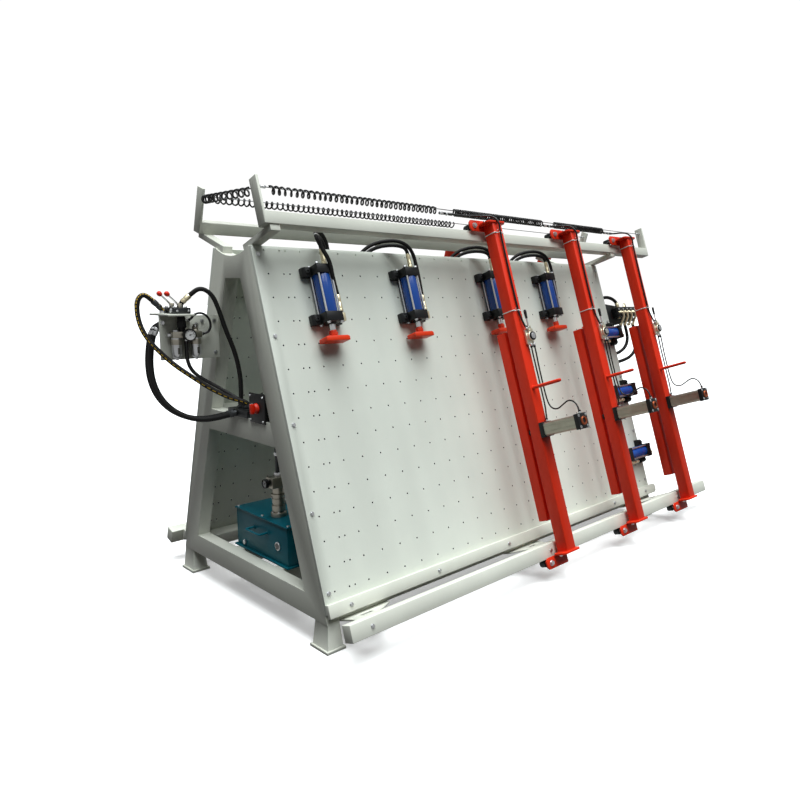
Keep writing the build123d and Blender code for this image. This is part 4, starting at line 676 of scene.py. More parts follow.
def ram_places():
    """Where each ram stands: kind, number and its own axes (side, out, push) on a side of the machine."""
    places = []
    for number, x in enumerate(TOP_RAM_X, 1):
        axes = Matrix(((1, 0, 0, x), (0, 0, -1, TOP_RAM_END), (0, 1, 0, 0), (0, 0, 0, 1)))
        places.append(("top", number, axes))
    for number, u in enumerate(SIDE_RAM_U, 1):
        axes = Matrix(((0, 0, -1, SIDE_RAM_END), (-1, 0, 0, u), (0, 1, 0, 0), (0, 0, 0, 1)))
        places.append(("side", number, axes))
    return places


def each_beam():
    """Every beam: the name and axes of its side, its number and its place along the rails."""
    for word, side in SIDES.items():
        for number, x in enumerate(BEAMS[word], 1):
            yield word, side, number, x


def paint(name, description, code):
    """A colour setting whose start value is written as sRGB hex."""
    return bpy.props.FloatVectorProperty(
        name=name, description=description, subtype="COLOR", size=4, min=0, max=1, default=linear(code))


RAMS = ram_places()


class PressColours(bpy.types.PropertyGroup):
    """Paint colours of the press."""

    frame: paint("Frame", "Enamel of the frame and rails", "#dbddd1")
    panel: paint("Panels", "Enamel of the work panels", "#dce1d6")
    beam: paint("Beams", "Enamel of the beams and press bars", "#e03216")
    barrel: paint("Ram barrels", "Gloss paint of the ram barrels", "#164a9c")
    shoe: paint("Ram shoes", "Enamel of the ram shoes", "#e23c18")
    tank: paint("Oil tank", "Gloss paint of the oil tank", "#0d6676")


class PressSizes(bpy.types.PropertyGroup):
    """Sizes of the details that a user would change."""

    hole: bpy.props.FloatProperty(
        name="Tapped hole", description="Diameter of the panel's tapped holes, mm", default=7.5, min=4)
    hole_rows: bpy.props.IntProperty(name="Hole rows", description="Rows of tapped holes", default=15, min=1)
    hole_columns: bpy.props.IntProperty(
        name="Hole columns", description="Columns of tapped holes", default=24, min=1)
    first_turns: bpy.props.IntProperty(
        name="First coil", description="Turns of the first spiral hose", default=33, min=4)
    dense_pitch: bpy.props.FloatProperty(
        name="Closed pitch", description="Pitch of the closed spiral hoses, mm", default=15.0, min=9)
    rear_turns: bpy.props.IntProperty(
        name="Rear coil", description="Turns of the rear spiral hose", default=52, min=4)


class PRESS_OT_finishes(bpy.types.Operator):
    """Mixes every paint, metal, plastic and rubber of the press"""

    bl_idname = "press.finishes"
    bl_label = "Finishes"

    def execute(self, context):
        colours = context.scene.press_colours
        painted_steel("grey enamel", colours.frame[:], 0.42, edge="#8f938c", sheen=0.35)
        panel_enamel("panel enamel", colours.panel[:])
        painted_steel("red enamel", colours.beam[:], 0.4, edge="#8c2814", sheen=0.22)
        painted_steel("blue gloss paint", colours.barrel[:], 0.22, peel_mm=6.0, coat=0.3, sheen=0.25)
        painted_steel("shoe enamel", colours.shoe[:], 0.4, edge="#6b6660", sheen=0.22)
        painted_steel("tank gloss paint", colours.tank[:], 0.3, peel_mm=7.0, edge="#2e3a3a", sheen=0.12)
        painted_steel("black stove paint", linear("#111213"), 0.38, peel_mm=3.0, edge="#3c3e3e", sheen=0.25)
        # Hard chrome on ground rod: mirror bright with faint rings
        bare_metal("chromed rod", "#d9dadb", 0.12, 6, depth_mm=0.01)
        # Extruded and bead-blasted aluminium: pale, satin, drawn along its length
        bare_metal("drawn aluminium", "#a09c90", 0.36, 3, stretch=(1, 0.1, 0.1))
        # Sand-cast aluminium: creamy grey, pitted
        bare_metal("cast aluminium", "#d3cdb8", 0.4, 5, depth_mm=0.2)
        # Yellow-passivated zinc on fittings: pale brassy with a rainbow-dull sheen
        bare_metal("yellow zinc", "#e0d6b4", 0.34, 6)
        bare_metal("bright zinc", "#c8cacb", 0.3, 5)
        bare_metal("blackened steel", "#3c3e3f", 0.42, 4)
        bare_metal("drawn wire", "#a9abac", 0.32, 3, stretch=(0.25, 1, 1), depth_mm=0.3)
        bare_metal("bronze ring", "#a4583a", 0.38, 4)
        moulded_plastic("black nylon", "#0e0f10", 0.46, sheen=0.25)
        moulded_plastic("red plastic", "#da2c14", 0.3, sheen=0.3)
        moulded_plastic("white nylon", "#e9e9e4", 0.42)
        moulded_plastic("dial card", "#f1f1ec", 0.5)
        hose_cover("hydraulic rubber", "#0b0a09")
        hose_cover("striped rubber", "#0d0b0a", stripe="#c9a63a")
        # Polyurethane air tube: smooth, glossy black
        moulded_plastic("air tube", "#0a0a0b", 0.3, grain_mm=12.0, sheen=0.35)
        smoked_bowl("smoked bowl", "#4a4842")
        return {"FINISHED"}


class PRESS_OT_stage(bpy.types.Operator):
    """Sets the pale floor, the studio light and the camera"""

    bl_idname = "press.stage"
    bl_label = "Stage"

    def execute(self, context):
        scene = context.scene
        scene.view_settings.view_transform = "Standard"
        self.floor()
        self.world(scene)
        self.lamps(scene)
        self.camera(scene)
        return {"FINISHED"}

    def floor(self):
        bm = bmesh.new()
        bmesh.ops.create_grid(bm, x_segments=1, y_segments=1, size=60)
        tree, shader, place = start_finish("floor paper")
        tone = between(tree, grain(tree, place, 900, detail=2.0), linear("#f4f4f3"), linear("#f8f8f7"))
        fill(tree, shader, {
            "Base Color": tone, "Roughness": 0.9, "Emission Color": (1, 1, 1, 1), "Emission Strength": 0.35,
        })
        floor = mesh_object("floor", bm)
        floor.data.materials.append(bpy.data.materials["floor paper"])
        floor.location = (0, 0, -0.0005)
        floor.visible_diffuse = False
        floor.visible_glossy = False

    def world(self, scene):
        world = bpy.data.worlds.new("studio")
        world.use_nodes = True
        tree = world.node_tree
        rays = add(tree, "LightPath", {})
        shine = remap(tree, rays.outputs["Is Glossy Ray"], low=0.04, high=0.5)
        strength = remap(tree, rays.outputs["Is Camera Ray"], low=shine, high=1.05)
        fill(tree, tree.nodes["Background"], {"Color": (1, 1, 1, 1), "Strength": strength})
        scene.world = world

    def lamps(self, scene):
        # A row of lamps high in front, seen as one from the left and one from the right,
        # and a broad light overhead
        for name, energy, spread, way in (
            ("left lamp", 1.1, 28, (-0.2, -0.5, 0.84)), ("right lamp", 0.8, 28, (0.3, -0.5, 0.81)),
            ("overhead", 3.7, 40, (0, -0.05, 1)),
        ):
            sun = bpy.data.lights.new(name, "SUN")
            sun.energy = energy
            sun.color = (0.94, 0.98, 1.0)
            sun.angle = radians(spread)
            light = bpy.data.objects.new(name, sun)
            light.rotation_euler = Vector(way).to_track_quat("Z", "Y").to_euler()
            scene.collection.objects.link(light)

    def camera(self, scene):
        yaw, pitch, roll = CAMERA_YAW, CAMERA_PITCH, CAMERA_ROLL
        ahead = Vector((sin(yaw) * cos(pitch), cos(yaw) * cos(pitch), sin(pitch)))
        right = Vector((cos(yaw), -sin(yaw), 0))
        up = right.cross(ahead)
        tilt_right = right * cos(roll) + up * sin(roll)
        tilt_up = up * cos(roll) - right * sin(roll)
        lens = bpy.data.cameras.new("camera")
        lens.sensor_width = 36
        lens.lens = CAMERA_LENS
        lens.shift_x = CAMERA_SHIFT
        camera = bpy.data.objects.new("camera", lens)
        turn = Matrix((tilt_right, tilt_up, -ahead)).transposed().to_4x4()
        camera.matrix_world = Matrix.Translation(CAMERA_PLACE) @ turn
        scene.collection.objects.link(camera)
        scene.camera = camera


class PRESS_OT_hydraulic_hoses(bpy.types.Operator):
    """Lays the oil hoses of the rams, the manifold and the controls, and the lines of the air unit"""

    bl_idname = "press.hydraulic_hoses"
    bl_label = "Hydraulic hoses"

    def execute(self, context):
        self.sleeves = bmesh.new()
        self.ram_hoses()
        self.manifold_hoses()
        self.control_hoses()
        self.supply_hoses()
        self.air_lines()
        self.cross_coil()
        finishes = ["yellow zinc", "bright zinc", "white nylon", "blackened steel"]
        piece("hose_sleeves", self.sleeves, finishes, "frame", (), LEVEL)
        return {"FINISHED"}

    def oil_hose(self, name, points, diameter, place, finish="hydraulic rubber", covers=()):
        return hose(name, points, diameter, finish, "frame", place, covers)

    def ram_hoses(self):
        covers = ["hydraulic_hoses"]
        for number, x in enumerate(TOP_RAM_X, 1):
            for word, (first, other) in RAM_ROUTES.items():
                route = first if number == 1 else other
                points = [(x + side, TOP_RAM_END + back, out) for side, back, out in route]
                curve = self.oil_hose(f"ram_hose_{word}_{number}", points, 18, FRONT, covers=covers)
                covers = ()
                ferrule(self.sleeves, curve, 0, 22, 21, 1, end=True)
                if number == 1 and word == "front":
                    ferrule(self.sleeves, curve, 280, 7, 21, 2)

    def manifold_hoses(self):
        for word, points in MANIFOLD_ROUTES.items():
            curve = self.oil_hose(f"manifold_hose_{word}", points, 22, FRONT)
            if word == "top":
                ferrule(self.sleeves, curve, 0, 34, 26, 0, end=True)

    def control_hoses(self):
        looks = {"shelf": ("striped rubber", 3), "valve": ("hydraulic rubber", 0)}
        for word, points in CONTROL_ROUTES.items():
            finish, sleeve = looks[word]
            curve = self.oil_hose(f"control_hose_{word}", points, 20, LEVEL, finish)
            ferrule(self.sleeves, curve, 24, 42, 24, sleeve)
            ferrule(self.sleeves, curve, 0, 30, 24, 3, end=True)

    def supply_hoses(self):
        for number, end in enumerate(SUPPLY_Y, 1):
            points = [(x, y + end - SUPPLY_Y[0], z) for x, y, z in SUPPLY_ROUTE]
            curve = self.oil_hose(f"supply_hose_{number}", points, 24, LEVEL)
            ferrule(self.sleeves, curve, 26, 34, 27, 1)
            ferrule(self.sleeves, curve, 0, 30, 27, 3, end=True)

    def air_lines(self):
        for word, points in AIR_ROUTES.items():
            diameter = AIR_DIAMETERS[word]
            curve = hose(f"air_line_{word}", points, diameter, "air tube", "frame", LEVEL, ())
            ferrule(self.sleeves, curve, 0, 14, diameter + 5, 1)
            ferrule(self.sleeves, curve, 0, 14, diameter + 5, 3, end=True)

    def cross_coil(self):
        # Wound close beside the rear post and drawn out towards the front one
        steps, axis = 11 * TURN_POINTS, CROSS_Z - WIRE_U + SPIRAL_U
        reach = CROSS_HALF - SPIRAL_RADIUS
        points = []
        for step in range(steps + 1):
            share = step / steps
            angle = 2 * pi * step / TURN_POINTS
            spread = share * share * (1.7 - 0.7 * share)
            points.append((
                POST_X + sin(angle) * WOUND_RADIUS, reach * (1 - 2 * spread) + 1.4 * sin(step * 0.37),
                axis - WOUND_DROP + cos(angle) * WOUND_RADIUS,
            ))
        hose("spiral_hose_cross", points, SPIRAL_TUBE, "air tube", "frame", LEVEL, ())


class PRESS_OT_beam_hoses(bpy.types.Operator):
    """Lays the air hoses of each front beam, from the tee on the wire to the cylinder"""

    bl_idname = "press.beam_hoses"
    bl_label = "Beam hoses"

    def execute(self, context):
        for number, (x, tee) in enumerate(zip(BEAMS["front"], TEES), 1):
            body, covers = f"front_carriage_{number}", [f"front_beam_hoses_{number}"]
            for word, thick, points in self.routes(x, tee, number == 1):
                hose(f"beam_{number}_hose_{word}", points, thick, "air tube", body, FRONT, covers)
                covers = []
            bm = bmesh.new()
            self.tee(bm, tee)
            piece(f"beam_{number}_tee", bm, ["black nylon", "bright zinc"], body, (), FRONT)
        return {"FINISHED"}

    def routes(self, x, tee, far):
        """Each hose of a beam: its name, its diameter and its points. A far tee needs a longer bend."""
        over, tied, near = BEAM_HIGH + 10, BEAM_FRONT + 6, BEAM_FRONT
        low, top = VALVE_LOW, CYLINDER_TOP
        bend = [(tee + 8, over + 50, RAIL_MIDDLE + 30)]
        if far:
            bend = [
                (tee + 24, over + 52, RAIL_MIDDLE + 30), (tee + 76, over + 47, RAIL_FACE + 9),
                (tee + 134, over + 43, BEAM_BACK + 10),
            ]
        return (
            ("supply", 10, [
                (tee, TEE_U - 4, RAIL_MIDDLE + 8), *bend, (x - 42, over + 38, BEAM_BACK + 34),
                (x - 12, over + 26, near - 4), (x - 2, over - 12, near + 20), (x, over - 62, tied + 3),
                (x + 1, VALVE_TOP + 110, tied), (x + 8, VALVE_TOP + 45, tied + 6),
                (x + 17, VALVE_TOP, near + 22),
            ]),
            ("front", 8, [
                (x + 26, low, near + 20), (x + 29, low - 42, near + 15), (x + 40, low - 96, near + 7),
                (x + 41, top + 96, near + 7), (x + 31, top + 46, near + 11), (x + 20, top, near + 13),
            ]),
            ("back", 8, [
                (x + 44, low, near + 24), (x + 48, low - 40, near + 24), (x + 52, low - 100, near + 16),
                (x + 52, top + 112, near + 16), (x + 50, top + 62, near + 34), (x + 44, top + 46, near + 78),
                (x + 34, top + 64, near + 130), (x + 22, top + 78, BODY_END - 50),
                (x + 11, top + 62, BODY_END - 10), (x + 6, top + 31, BODY_END + 10),
                (x + 4, top, BODY_END + 13),
            ]),
        )

    def tee(self, bm, x):
        rod(bm, (x - TEE_HALF, TEE_U, RAIL_MIDDLE), (x + TEE_HALF, TEE_U, RAIL_MIDDLE), 13, 0, edge=1)
        for way in (-1, 1):
            end, inner = x + way * TEE_HALF, x + way * TEE_HALF / 2
            rod(bm, (end, TEE_U, RAIL_MIDDLE), (inner, TEE_U, RAIL_MIDDLE), 16, 1, edge=1.2)
        rod(bm, (x, TEE_U - 4, RAIL_MIDDLE), (x, TEE_U - 4, RAIL_MIDDLE + 14), 14, 1, edge=1)


class PRESS_OT_spiral_hoses(bpy.types.Operator):
    """Winds the spiral air hoses round the wire ropes, each between the pieces that it joins"""

    bl_idname = "press.spiral_hoses"
    bl_label = "Spiral hoses"

    def execute(self, context):
        sizes = context.scene.press_sizes
        covers = ["spiral_air_hoses"]
        first, second, third = TEES
        runs = [
            ("1", FRONT, SPIRAL_START, first - TEE_CLEAR, sizes.first_turns, "frame", "front_carriage_1"),
            ("2_left", FRONT, first + TEE_CLEAR, 0, 0, "front_carriage_1", "frame"),
            ("2_right", FRONT, 0, second - TEE_CLEAR, 0, "frame", "front_carriage_2"),
            ("3_left", FRONT, second + TEE_CLEAR, HELD_X, 0, "front_carriage_2", "frame"),
            ("3_right", FRONT, HELD_X, third - TEE_CLEAR, 0, "frame", "front_carriage_3"),
            ("rear", REAR, SPIRAL_START, REAR_SPIRAL_END, sizes.rear_turns, "frame", "rear_carriage_1"),
        ]
        for word, side, start, end, turns, near, far in runs:
            name = f"spiral_hose_{word}"
            turns = turns or round((end - start) / sizes.dense_pitch)
            points = self.winding(side, start, (end - start) / turns, turns)
            curve = spline(name, points, SPIRAL_TUBE * MM)
            curve.data.resolution_u = 1
            curve.data.bevel_resolution = 1
            path = walk(curve)
            mesh = bpy.data.meshes.new_from_object(curve)
            bpy.data.curves.remove(curve.data)
            mesh.materials.clear()
            mesh.materials.append(bpy.data.materials["air tube"])
            smooth(mesh)
            coil = bpy.data.objects.new(name, mesh)
            context.scene.collection.objects.link(coil)
            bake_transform(coil)
            if covers:
                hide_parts(*covers)
                covers = []
            tuple(path[0])
            measure(path)
            [tuple(point) for point in path]
        return {"FINISHED"}

    def winding(self, side, start, pitch, turns):
        """Points of a coil along the wire, slightly uneven in its pitch."""
        points = []
        for step in range(TURN_POINTS * turns + 1):
            angle = 2 * pi * step / TURN_POINTS
            wander = 1.6 * sin(step * 0.37) + 1.1 * sin(step * 0.113 + 1)
            points.append(side @ Vector((
                start + pitch * angle / (2 * pi) + wander,
                SPIRAL_U - WOUND_DROP + cos(angle) * WOUND_RADIUS, RAIL_MIDDLE + sin(angle) * WOUND_RADIUS,
            )))
        return points


class PRESS_OT_frame(bpy.types.Operator):
    """Rounds and paints the welded frames, stretchers, fences and rails"""

    bl_idname = "press.frame"
    bl_label = "Frame and rails"

    def execute(self, context):
        for node, width in (
            ("left_end_frame", 2.5), ("right_end_frame", 2.5), ("frame_stretchers", 4.0),
            ("bottom_fences", 1.5), ("bottom_guide_rails", 2.5), ("top_guide_rails", 2.5),
        ):
            softened(f"{node}_painted", node, "grey enamel", "frame", width)
        return {"FINISHED"}


class PRESS_OT_panels(bpy.types.Operator):
    """Drills the grid of tapped holes through both work panels"""

    bl_idname = "press.panels"
    bl_label = "Work panels"

    def execute(self, context):
        sizes = context.scene.press_sizes
        grid = [FIXTURE_X + HOLE_STEP_X * (column - FIXTURE_COLUMN) for column in range(sizes.hole_columns)]
        for word, side in SIDES.items():
            sheet, drills = bmesh.new(), bmesh.new()
            block(sheet, (PANEL_LEFT, PANEL_LOW, -PANEL_THICK), (PANEL_RIGHT, PANEL_HIGH, 0), 0, 1.5)
            for row, x in product(range(sizes.hole_rows), LEFT_COLUMNS + grid):
                u = HOLE_LOW + HOLE_STEP_U * row
                wide = FIXTURE_HOLE if (x, u) == (FIXTURE_X, FIXTURE_U) else sizes.hole
                rod(drills, (x, u, -PANEL_THICK - 3), (x, u, 3), wide, sides=12)
            bm = carve(sheet, drills)
            for face in bm.faces:
                x, u, _ = face.calc_center_median()
                inside = PANEL_LEFT + 30 < x < PANEL_RIGHT - 30 and PANEL_LOW + 30 < u < PANEL_HIGH - 30
                face.material_index = 1 if inside and abs(face.normal.z) < 0.5 else 0
            piece(f"{word}_panel_drilled", bm, ["panel enamel", "blackened steel"], "frame",
                  [f"{word}_work_panel"], side, sharp=30)
        return {"FINISHED"}


class PRESS_OT_rams(bpy.types.Operator):
    """Builds the hydraulic rams: barrels, caps, tie rods, and the rods with their T shoes"""

    bl_idname = "press.rams"
    bl_label = "Rams"

    def execute(self, context):
        barrels, caps, ties = bmesh.new(), bmesh.new(), bmesh.new()
        moving = {}
        for (word, side), (kind, number, axes) in product(SIDES.items(), RAMS):
            name = f"front_{kind}_ram_{number}" if word == "front" else f"rear_{kind}_rams"
            if name not in moving:
                moving[name] = bmesh.new()
            for whole, build in (
                (barrels, self.barrel), (caps, self.caps), (ties, self.ties), (moving[name], self.shoe),
            ):
                placed(whole, build, side @ axes)
        piece("ram_barrels_blue", barrels, ["blue gloss paint"], "frame", ["ram_barrels"])
        piece("ram_caps_black", caps, ["black stove paint", "bright zinc", "blackened steel"], "frame",
              ["ram_end_caps"])
        piece("ram_tie_rods_bright", ties, ["bright zinc"], "frame", ["ram_tie_rods"])
        for name, bm in moving.items():
            piece(f"{name}_shoe", bm, ["shoe enamel", "chromed rod"], name, [name])
        return {"FINISHED"}

    def barrel(self, bm):
        turned(bm, (0, RAM_AXIS, REAR_CAP), UP, [
            (0, 31.5), (0, 36.5), (3, 37.5), (167, 37.5), (170, 36.5), (170, 31.5), (0, 31.5),
        ], 0, sides=40)

    def caps(self, bm):
        lugs = [(-75, 0), (75, 0), (75, 25), (64, 36), (-64, 36), (-75, 25)]
        for start, end in ((0, REAR_CAP), (FRONT_CAP_START, RAM_FRONT)):
            plate(bm, lugs, start, end, 0, 2.0)
            block(bm, (-42, 8, start), (42, 92, end), 0, 5.0)
            for across in (-58, 58):
                cap_screw(bm, (across, 36, (start + end) / 2), (0, 1, 0), 12, 2)
        rod(bm, (0, RAM_AXIS, RAM_FRONT), (0, RAM_AXIS, RAM_FRONT + 5), 46, 0, sides=32, edge=1.2)
        rod(bm, (0, RAM_AXIS, RAM_FRONT + 5), (0, RAM_AXIS, RAM_FRONT + 7), 35, 2, sides=32)
        for across, out in product((-RAM_BOLT, RAM_BOLT), repeat=2):
            bolt(bm, (across, RAM_AXIS + out, RAM_FRONT), UP, 9, 1)
            bolt(bm, (across, RAM_AXIS + out, 0), (0, 0, -1), 9, 1)

    def ties(self, bm):
        for across, out in product((-RAM_BOLT, RAM_BOLT), repeat=2):
            point = (across, RAM_AXIS + out)
            rod(bm, (*point, REAR_CAP), (*point, FRONT_CAP_START), 9, 0, sides=16)

    def shoe(self, bm):
        rod(bm, (0, RAM_AXIS, 70), (0, RAM_AXIS, BOSS_START + 4), 28, 1, sides=32)
        rod(bm, (0, RAM_AXIS, BOSS_START), (0, RAM_AXIS, SHOE_START + 2), 32, 0, sides=32, edge=1.5)
        nut(bm, (0, RAM_AXIS, BOSS_START + 8), (0, RAM_AXIS, BOSS_START + 20), 38, 0, edge=0)
        outline = [
            (-59, SHOE_END), (59, SHOE_END), (59, SHOE_START + 5), (50, SHOE_START), (-50, SHOE_START),
            (-59, SHOE_START + 5),
        ]
        plate(bm, outline, RAM_AXIS - 32, RAM_AXIS + 32, 0, 2.0, SWAP)


class PRESS_OT_port_fittings(bpy.types.Operator):
    """Builds the ram port fittings, the trunk bars, the right manifold and the bulkhead block"""

    bl_idname = "press.port_fittings"
    bl_label = "Port fittings"

    def execute(self, context):
        bm = bmesh.new()
        for kind, _, axes in RAMS:
            placed(bm, self.ram_ports, FRONT @ axes, 75 if kind == "top" else 40)
        placed(bm, self.trunk_bars, FRONT)
        placed(bm, self.manifold, FRONT)
        placed(bm, self.bulkhead, LEVEL)
        piece("port_fittings_plated", bm, ["yellow zinc", "bright zinc", "blackened steel"], "frame",
              ["hose_fittings"])
        return {"FINISHED"}

    def ram_ports(self, bm, reach):
        side, out = ELBOW_SIDE, FITTING_OUT
        self.swivel(bm, (FITTING_SIDE, out, 0), reach)
        block(bm, (side - 12, out - 12, ELBOW_START), (side + 12, out + 12, ELBOW_END), 0, 2.5)
        self.swivel(bm, (side, out, ELBOW_START), 83)
        nut(bm, (side, out, ELBOW_END), (side, out, ELBOW_END + 3), 18, 1, edge=0)

    def swivel(self, bm, start, reach):
        """A swivel nut and a crimped ferrule, pointing back from a port."""
        x, y, z = start
        rod(bm, start, (x, y, z - 5), 18, 1, sides=20)
        nut(bm, (x, y, z - 5), (x, y, z - 19), 22, 0, edge=0.8)
        turned(bm, (x, y, z - 19), (0, 0, -1), [
            (0, 8), (2, 10), (reach * 0.32, 10), (reach * 0.34, 9), (reach * 0.4, 9), (reach * 0.42, 10),
            (reach - 21, 10), (reach - 19, 8.6), (reach - 19, 0),
        ], 0, sides=20)

    def trunk_bars(self, bm):
        for out, (first, other) in TRUNK_PORTS.items():
            block(bm, (-1210, TRUNK_TOP - 24, out - 12), (980, TRUNK_TOP, out + 12), 2, 2)
            for number, x in enumerate(TOP_RAM_X, 1):
                port = x + (first if number == 1 else other)
                nut(bm, (port, TRUNK_TOP, out), (port, TRUNK_TOP + 12, out), 24, 1)

    def manifold(self, bm):
        low, face = MANIFOLD_LOW, MANIFOLD_FACE
        outline = [(PANEL_RIGHT, 1290), (PANEL_RIGHT, 1450), (1380, 1410), (1380, 1325)]
        plate(bm, outline, -PANEL_THICK - 8, -PANEL_THICK, 2, 1.5)
        block(bm, (1120, low, -PANEL_THICK), (1330, MANIFOLD_HIGH, face), 2, 3)
        for x in MANIFOLD_COLUMNS:
            nut(bm, (x, low, TAIL_N), (x, low - 8, TAIL_N), 26, 0)
            pipe(bm, [
                (x - 24, 1374, 36), (x - 14, 1373, 50), (x - 2, 1362, 55), (x + 4, 1338, 48),
                (x + 3, 1312, 24), (x, TAIL_U, TAIL_N),
            ], 17, 0)
            rod(bm, (x, TAIL_U + 17, TAIL_N), (x, TAIL_U, TAIL_N), 22, 0, sides=20, edge=1.5)
            cap_screw(bm, (x - 22, MANIFOLD_HIGH - 16, face), UP, 8, 1)
            nut(bm, (x, MANIFOLD_HIGH - 32, face), (x, MANIFOLD_HIGH - 32, face + 4), 20, 0, edge=0)
        pipe(bm, [
            (1236, 1400, 12), (1244, 1424, 12), (1266, 1442, 4), (1290, 1436, -8), (1300, 1412, -14),
        ], 15, 0)

    def bulkhead(self, bm):
        block(bm, (BULKHEAD_LEFT, -85, BULKHEAD_LOW), (BULKHEAD_LEFT + 64, 85, BULKHEAD_TOP), 2, 2)
        for y, wide in ((-60, 28), (-10, 24), (40, 28)):
            nut(bm, (PORT_X, y, BULKHEAD_TOP), (PORT_X, y, BULKHEAD_TOP + 9), wide, 2)
        for y in SUPPLY_Y:
            nut(bm, (BULKHEAD_LEFT, y, SUPPLY_Z), (BULKHEAD_LEFT - 8, y, SUPPLY_Z), 27, 2)


class PRESS_OT_beams(bpy.types.Operator):
    """Builds the sliding beams with their end plates, rollers and stick handles"""

    bl_idname = "press.beams"
    bl_label = "Beams"

    def execute(self, context):
        for word, side, number, x in each_beam():
            bm = bmesh.new()
            block(bm, (x - BEAM_HALF, BEAM_LOW, BEAM_BACK), (x + BEAM_HALF, BEAM_HIGH, BEAM_FRONT), 0, 6)
            self.end_plates(bm, x)
            self.rollers(bm, x)
            turned(bm, (x + HANDLE_X, HANDLE_U, BEAM_FRONT), UP, [
                (0, 0), (0, 12), (4, 12), (5, 9), (176, 9), (182, 7), (185, 3), (185, 0),
            ], 0, sides=24)
            piece(f"{word}_beam_{number}_painted", bm, ["red enamel", "bright zinc", "blackened steel"],
                  f"{word}_carriage_{number}", [f"{word}_beam_{number}"], side)
        return {"FINISHED"}

    def end_plates(self, bm, x):
        wide, corner = PLATE_HALF, PLATE_CORNER
        near, side = wide - corner, BEAM_HALF + 3
        back, front = BEAM_BACK - PLATE_OVER, BEAM_FRONT + PLATE_OVER
        foot = [
            (x - near, back), (x + near, back), (x + wide, back + corner), (x + wide, front - corner),
            (x + near, front), (x - near, front), (x - wide, front - corner), (x - wide, back + corner),
        ]
        for weld, out in ((BEAM_LOW, -1), (BEAM_HIGH, 1)):
            far = weld + out * PLATE_THICK
            plate(bm, foot, min(weld, far), max(weld, far), 0, 1.2, SWAP)
            block(bm, (x - side, weld - 3, BEAM_BACK - 3), (x + side, weld + 3, BEAM_FRONT + 3), 0, 2.9)
            for across in (-52, 52):
                bolt(bm, (x + across, far, (BEAM_BACK + BEAM_FRONT) / 2), (0, out, 0), 10, 1)

    def rollers(self, bm, x):
        middle, far, near = x + ROLLER_X, x - ARM_END, x - ARM_END + ARM_CORNER
        for axle in AXLES:
            low, high = axle - ARM_HALF, axle + ARM_HALF
            arm = [
                (x + BEAM_HALF, low), (x + BEAM_HALF, high), (near, high), (far, axle + ARM_CORNER),
                (far, axle - ARM_CORNER), (near, low),
            ]
            plate(bm, arm, ARM_BACK, BEAM_BACK, 0, 1.2)
            turned(bm, (middle, axle, ROLLER_BACK), UP, [
                (0, 0), (0, 12), (1, 19), (3, 20), (33, 20), (35, 19), (36, 12), (36, 0),
            ], 2, sides=36)
            rod(bm, (middle, axle, ROLLER_FRONT), (middle, axle, ARM_BACK), 14, 1, sides=20)
            bolt(bm, (middle, axle, BEAM_BACK), UP, 14, 1)


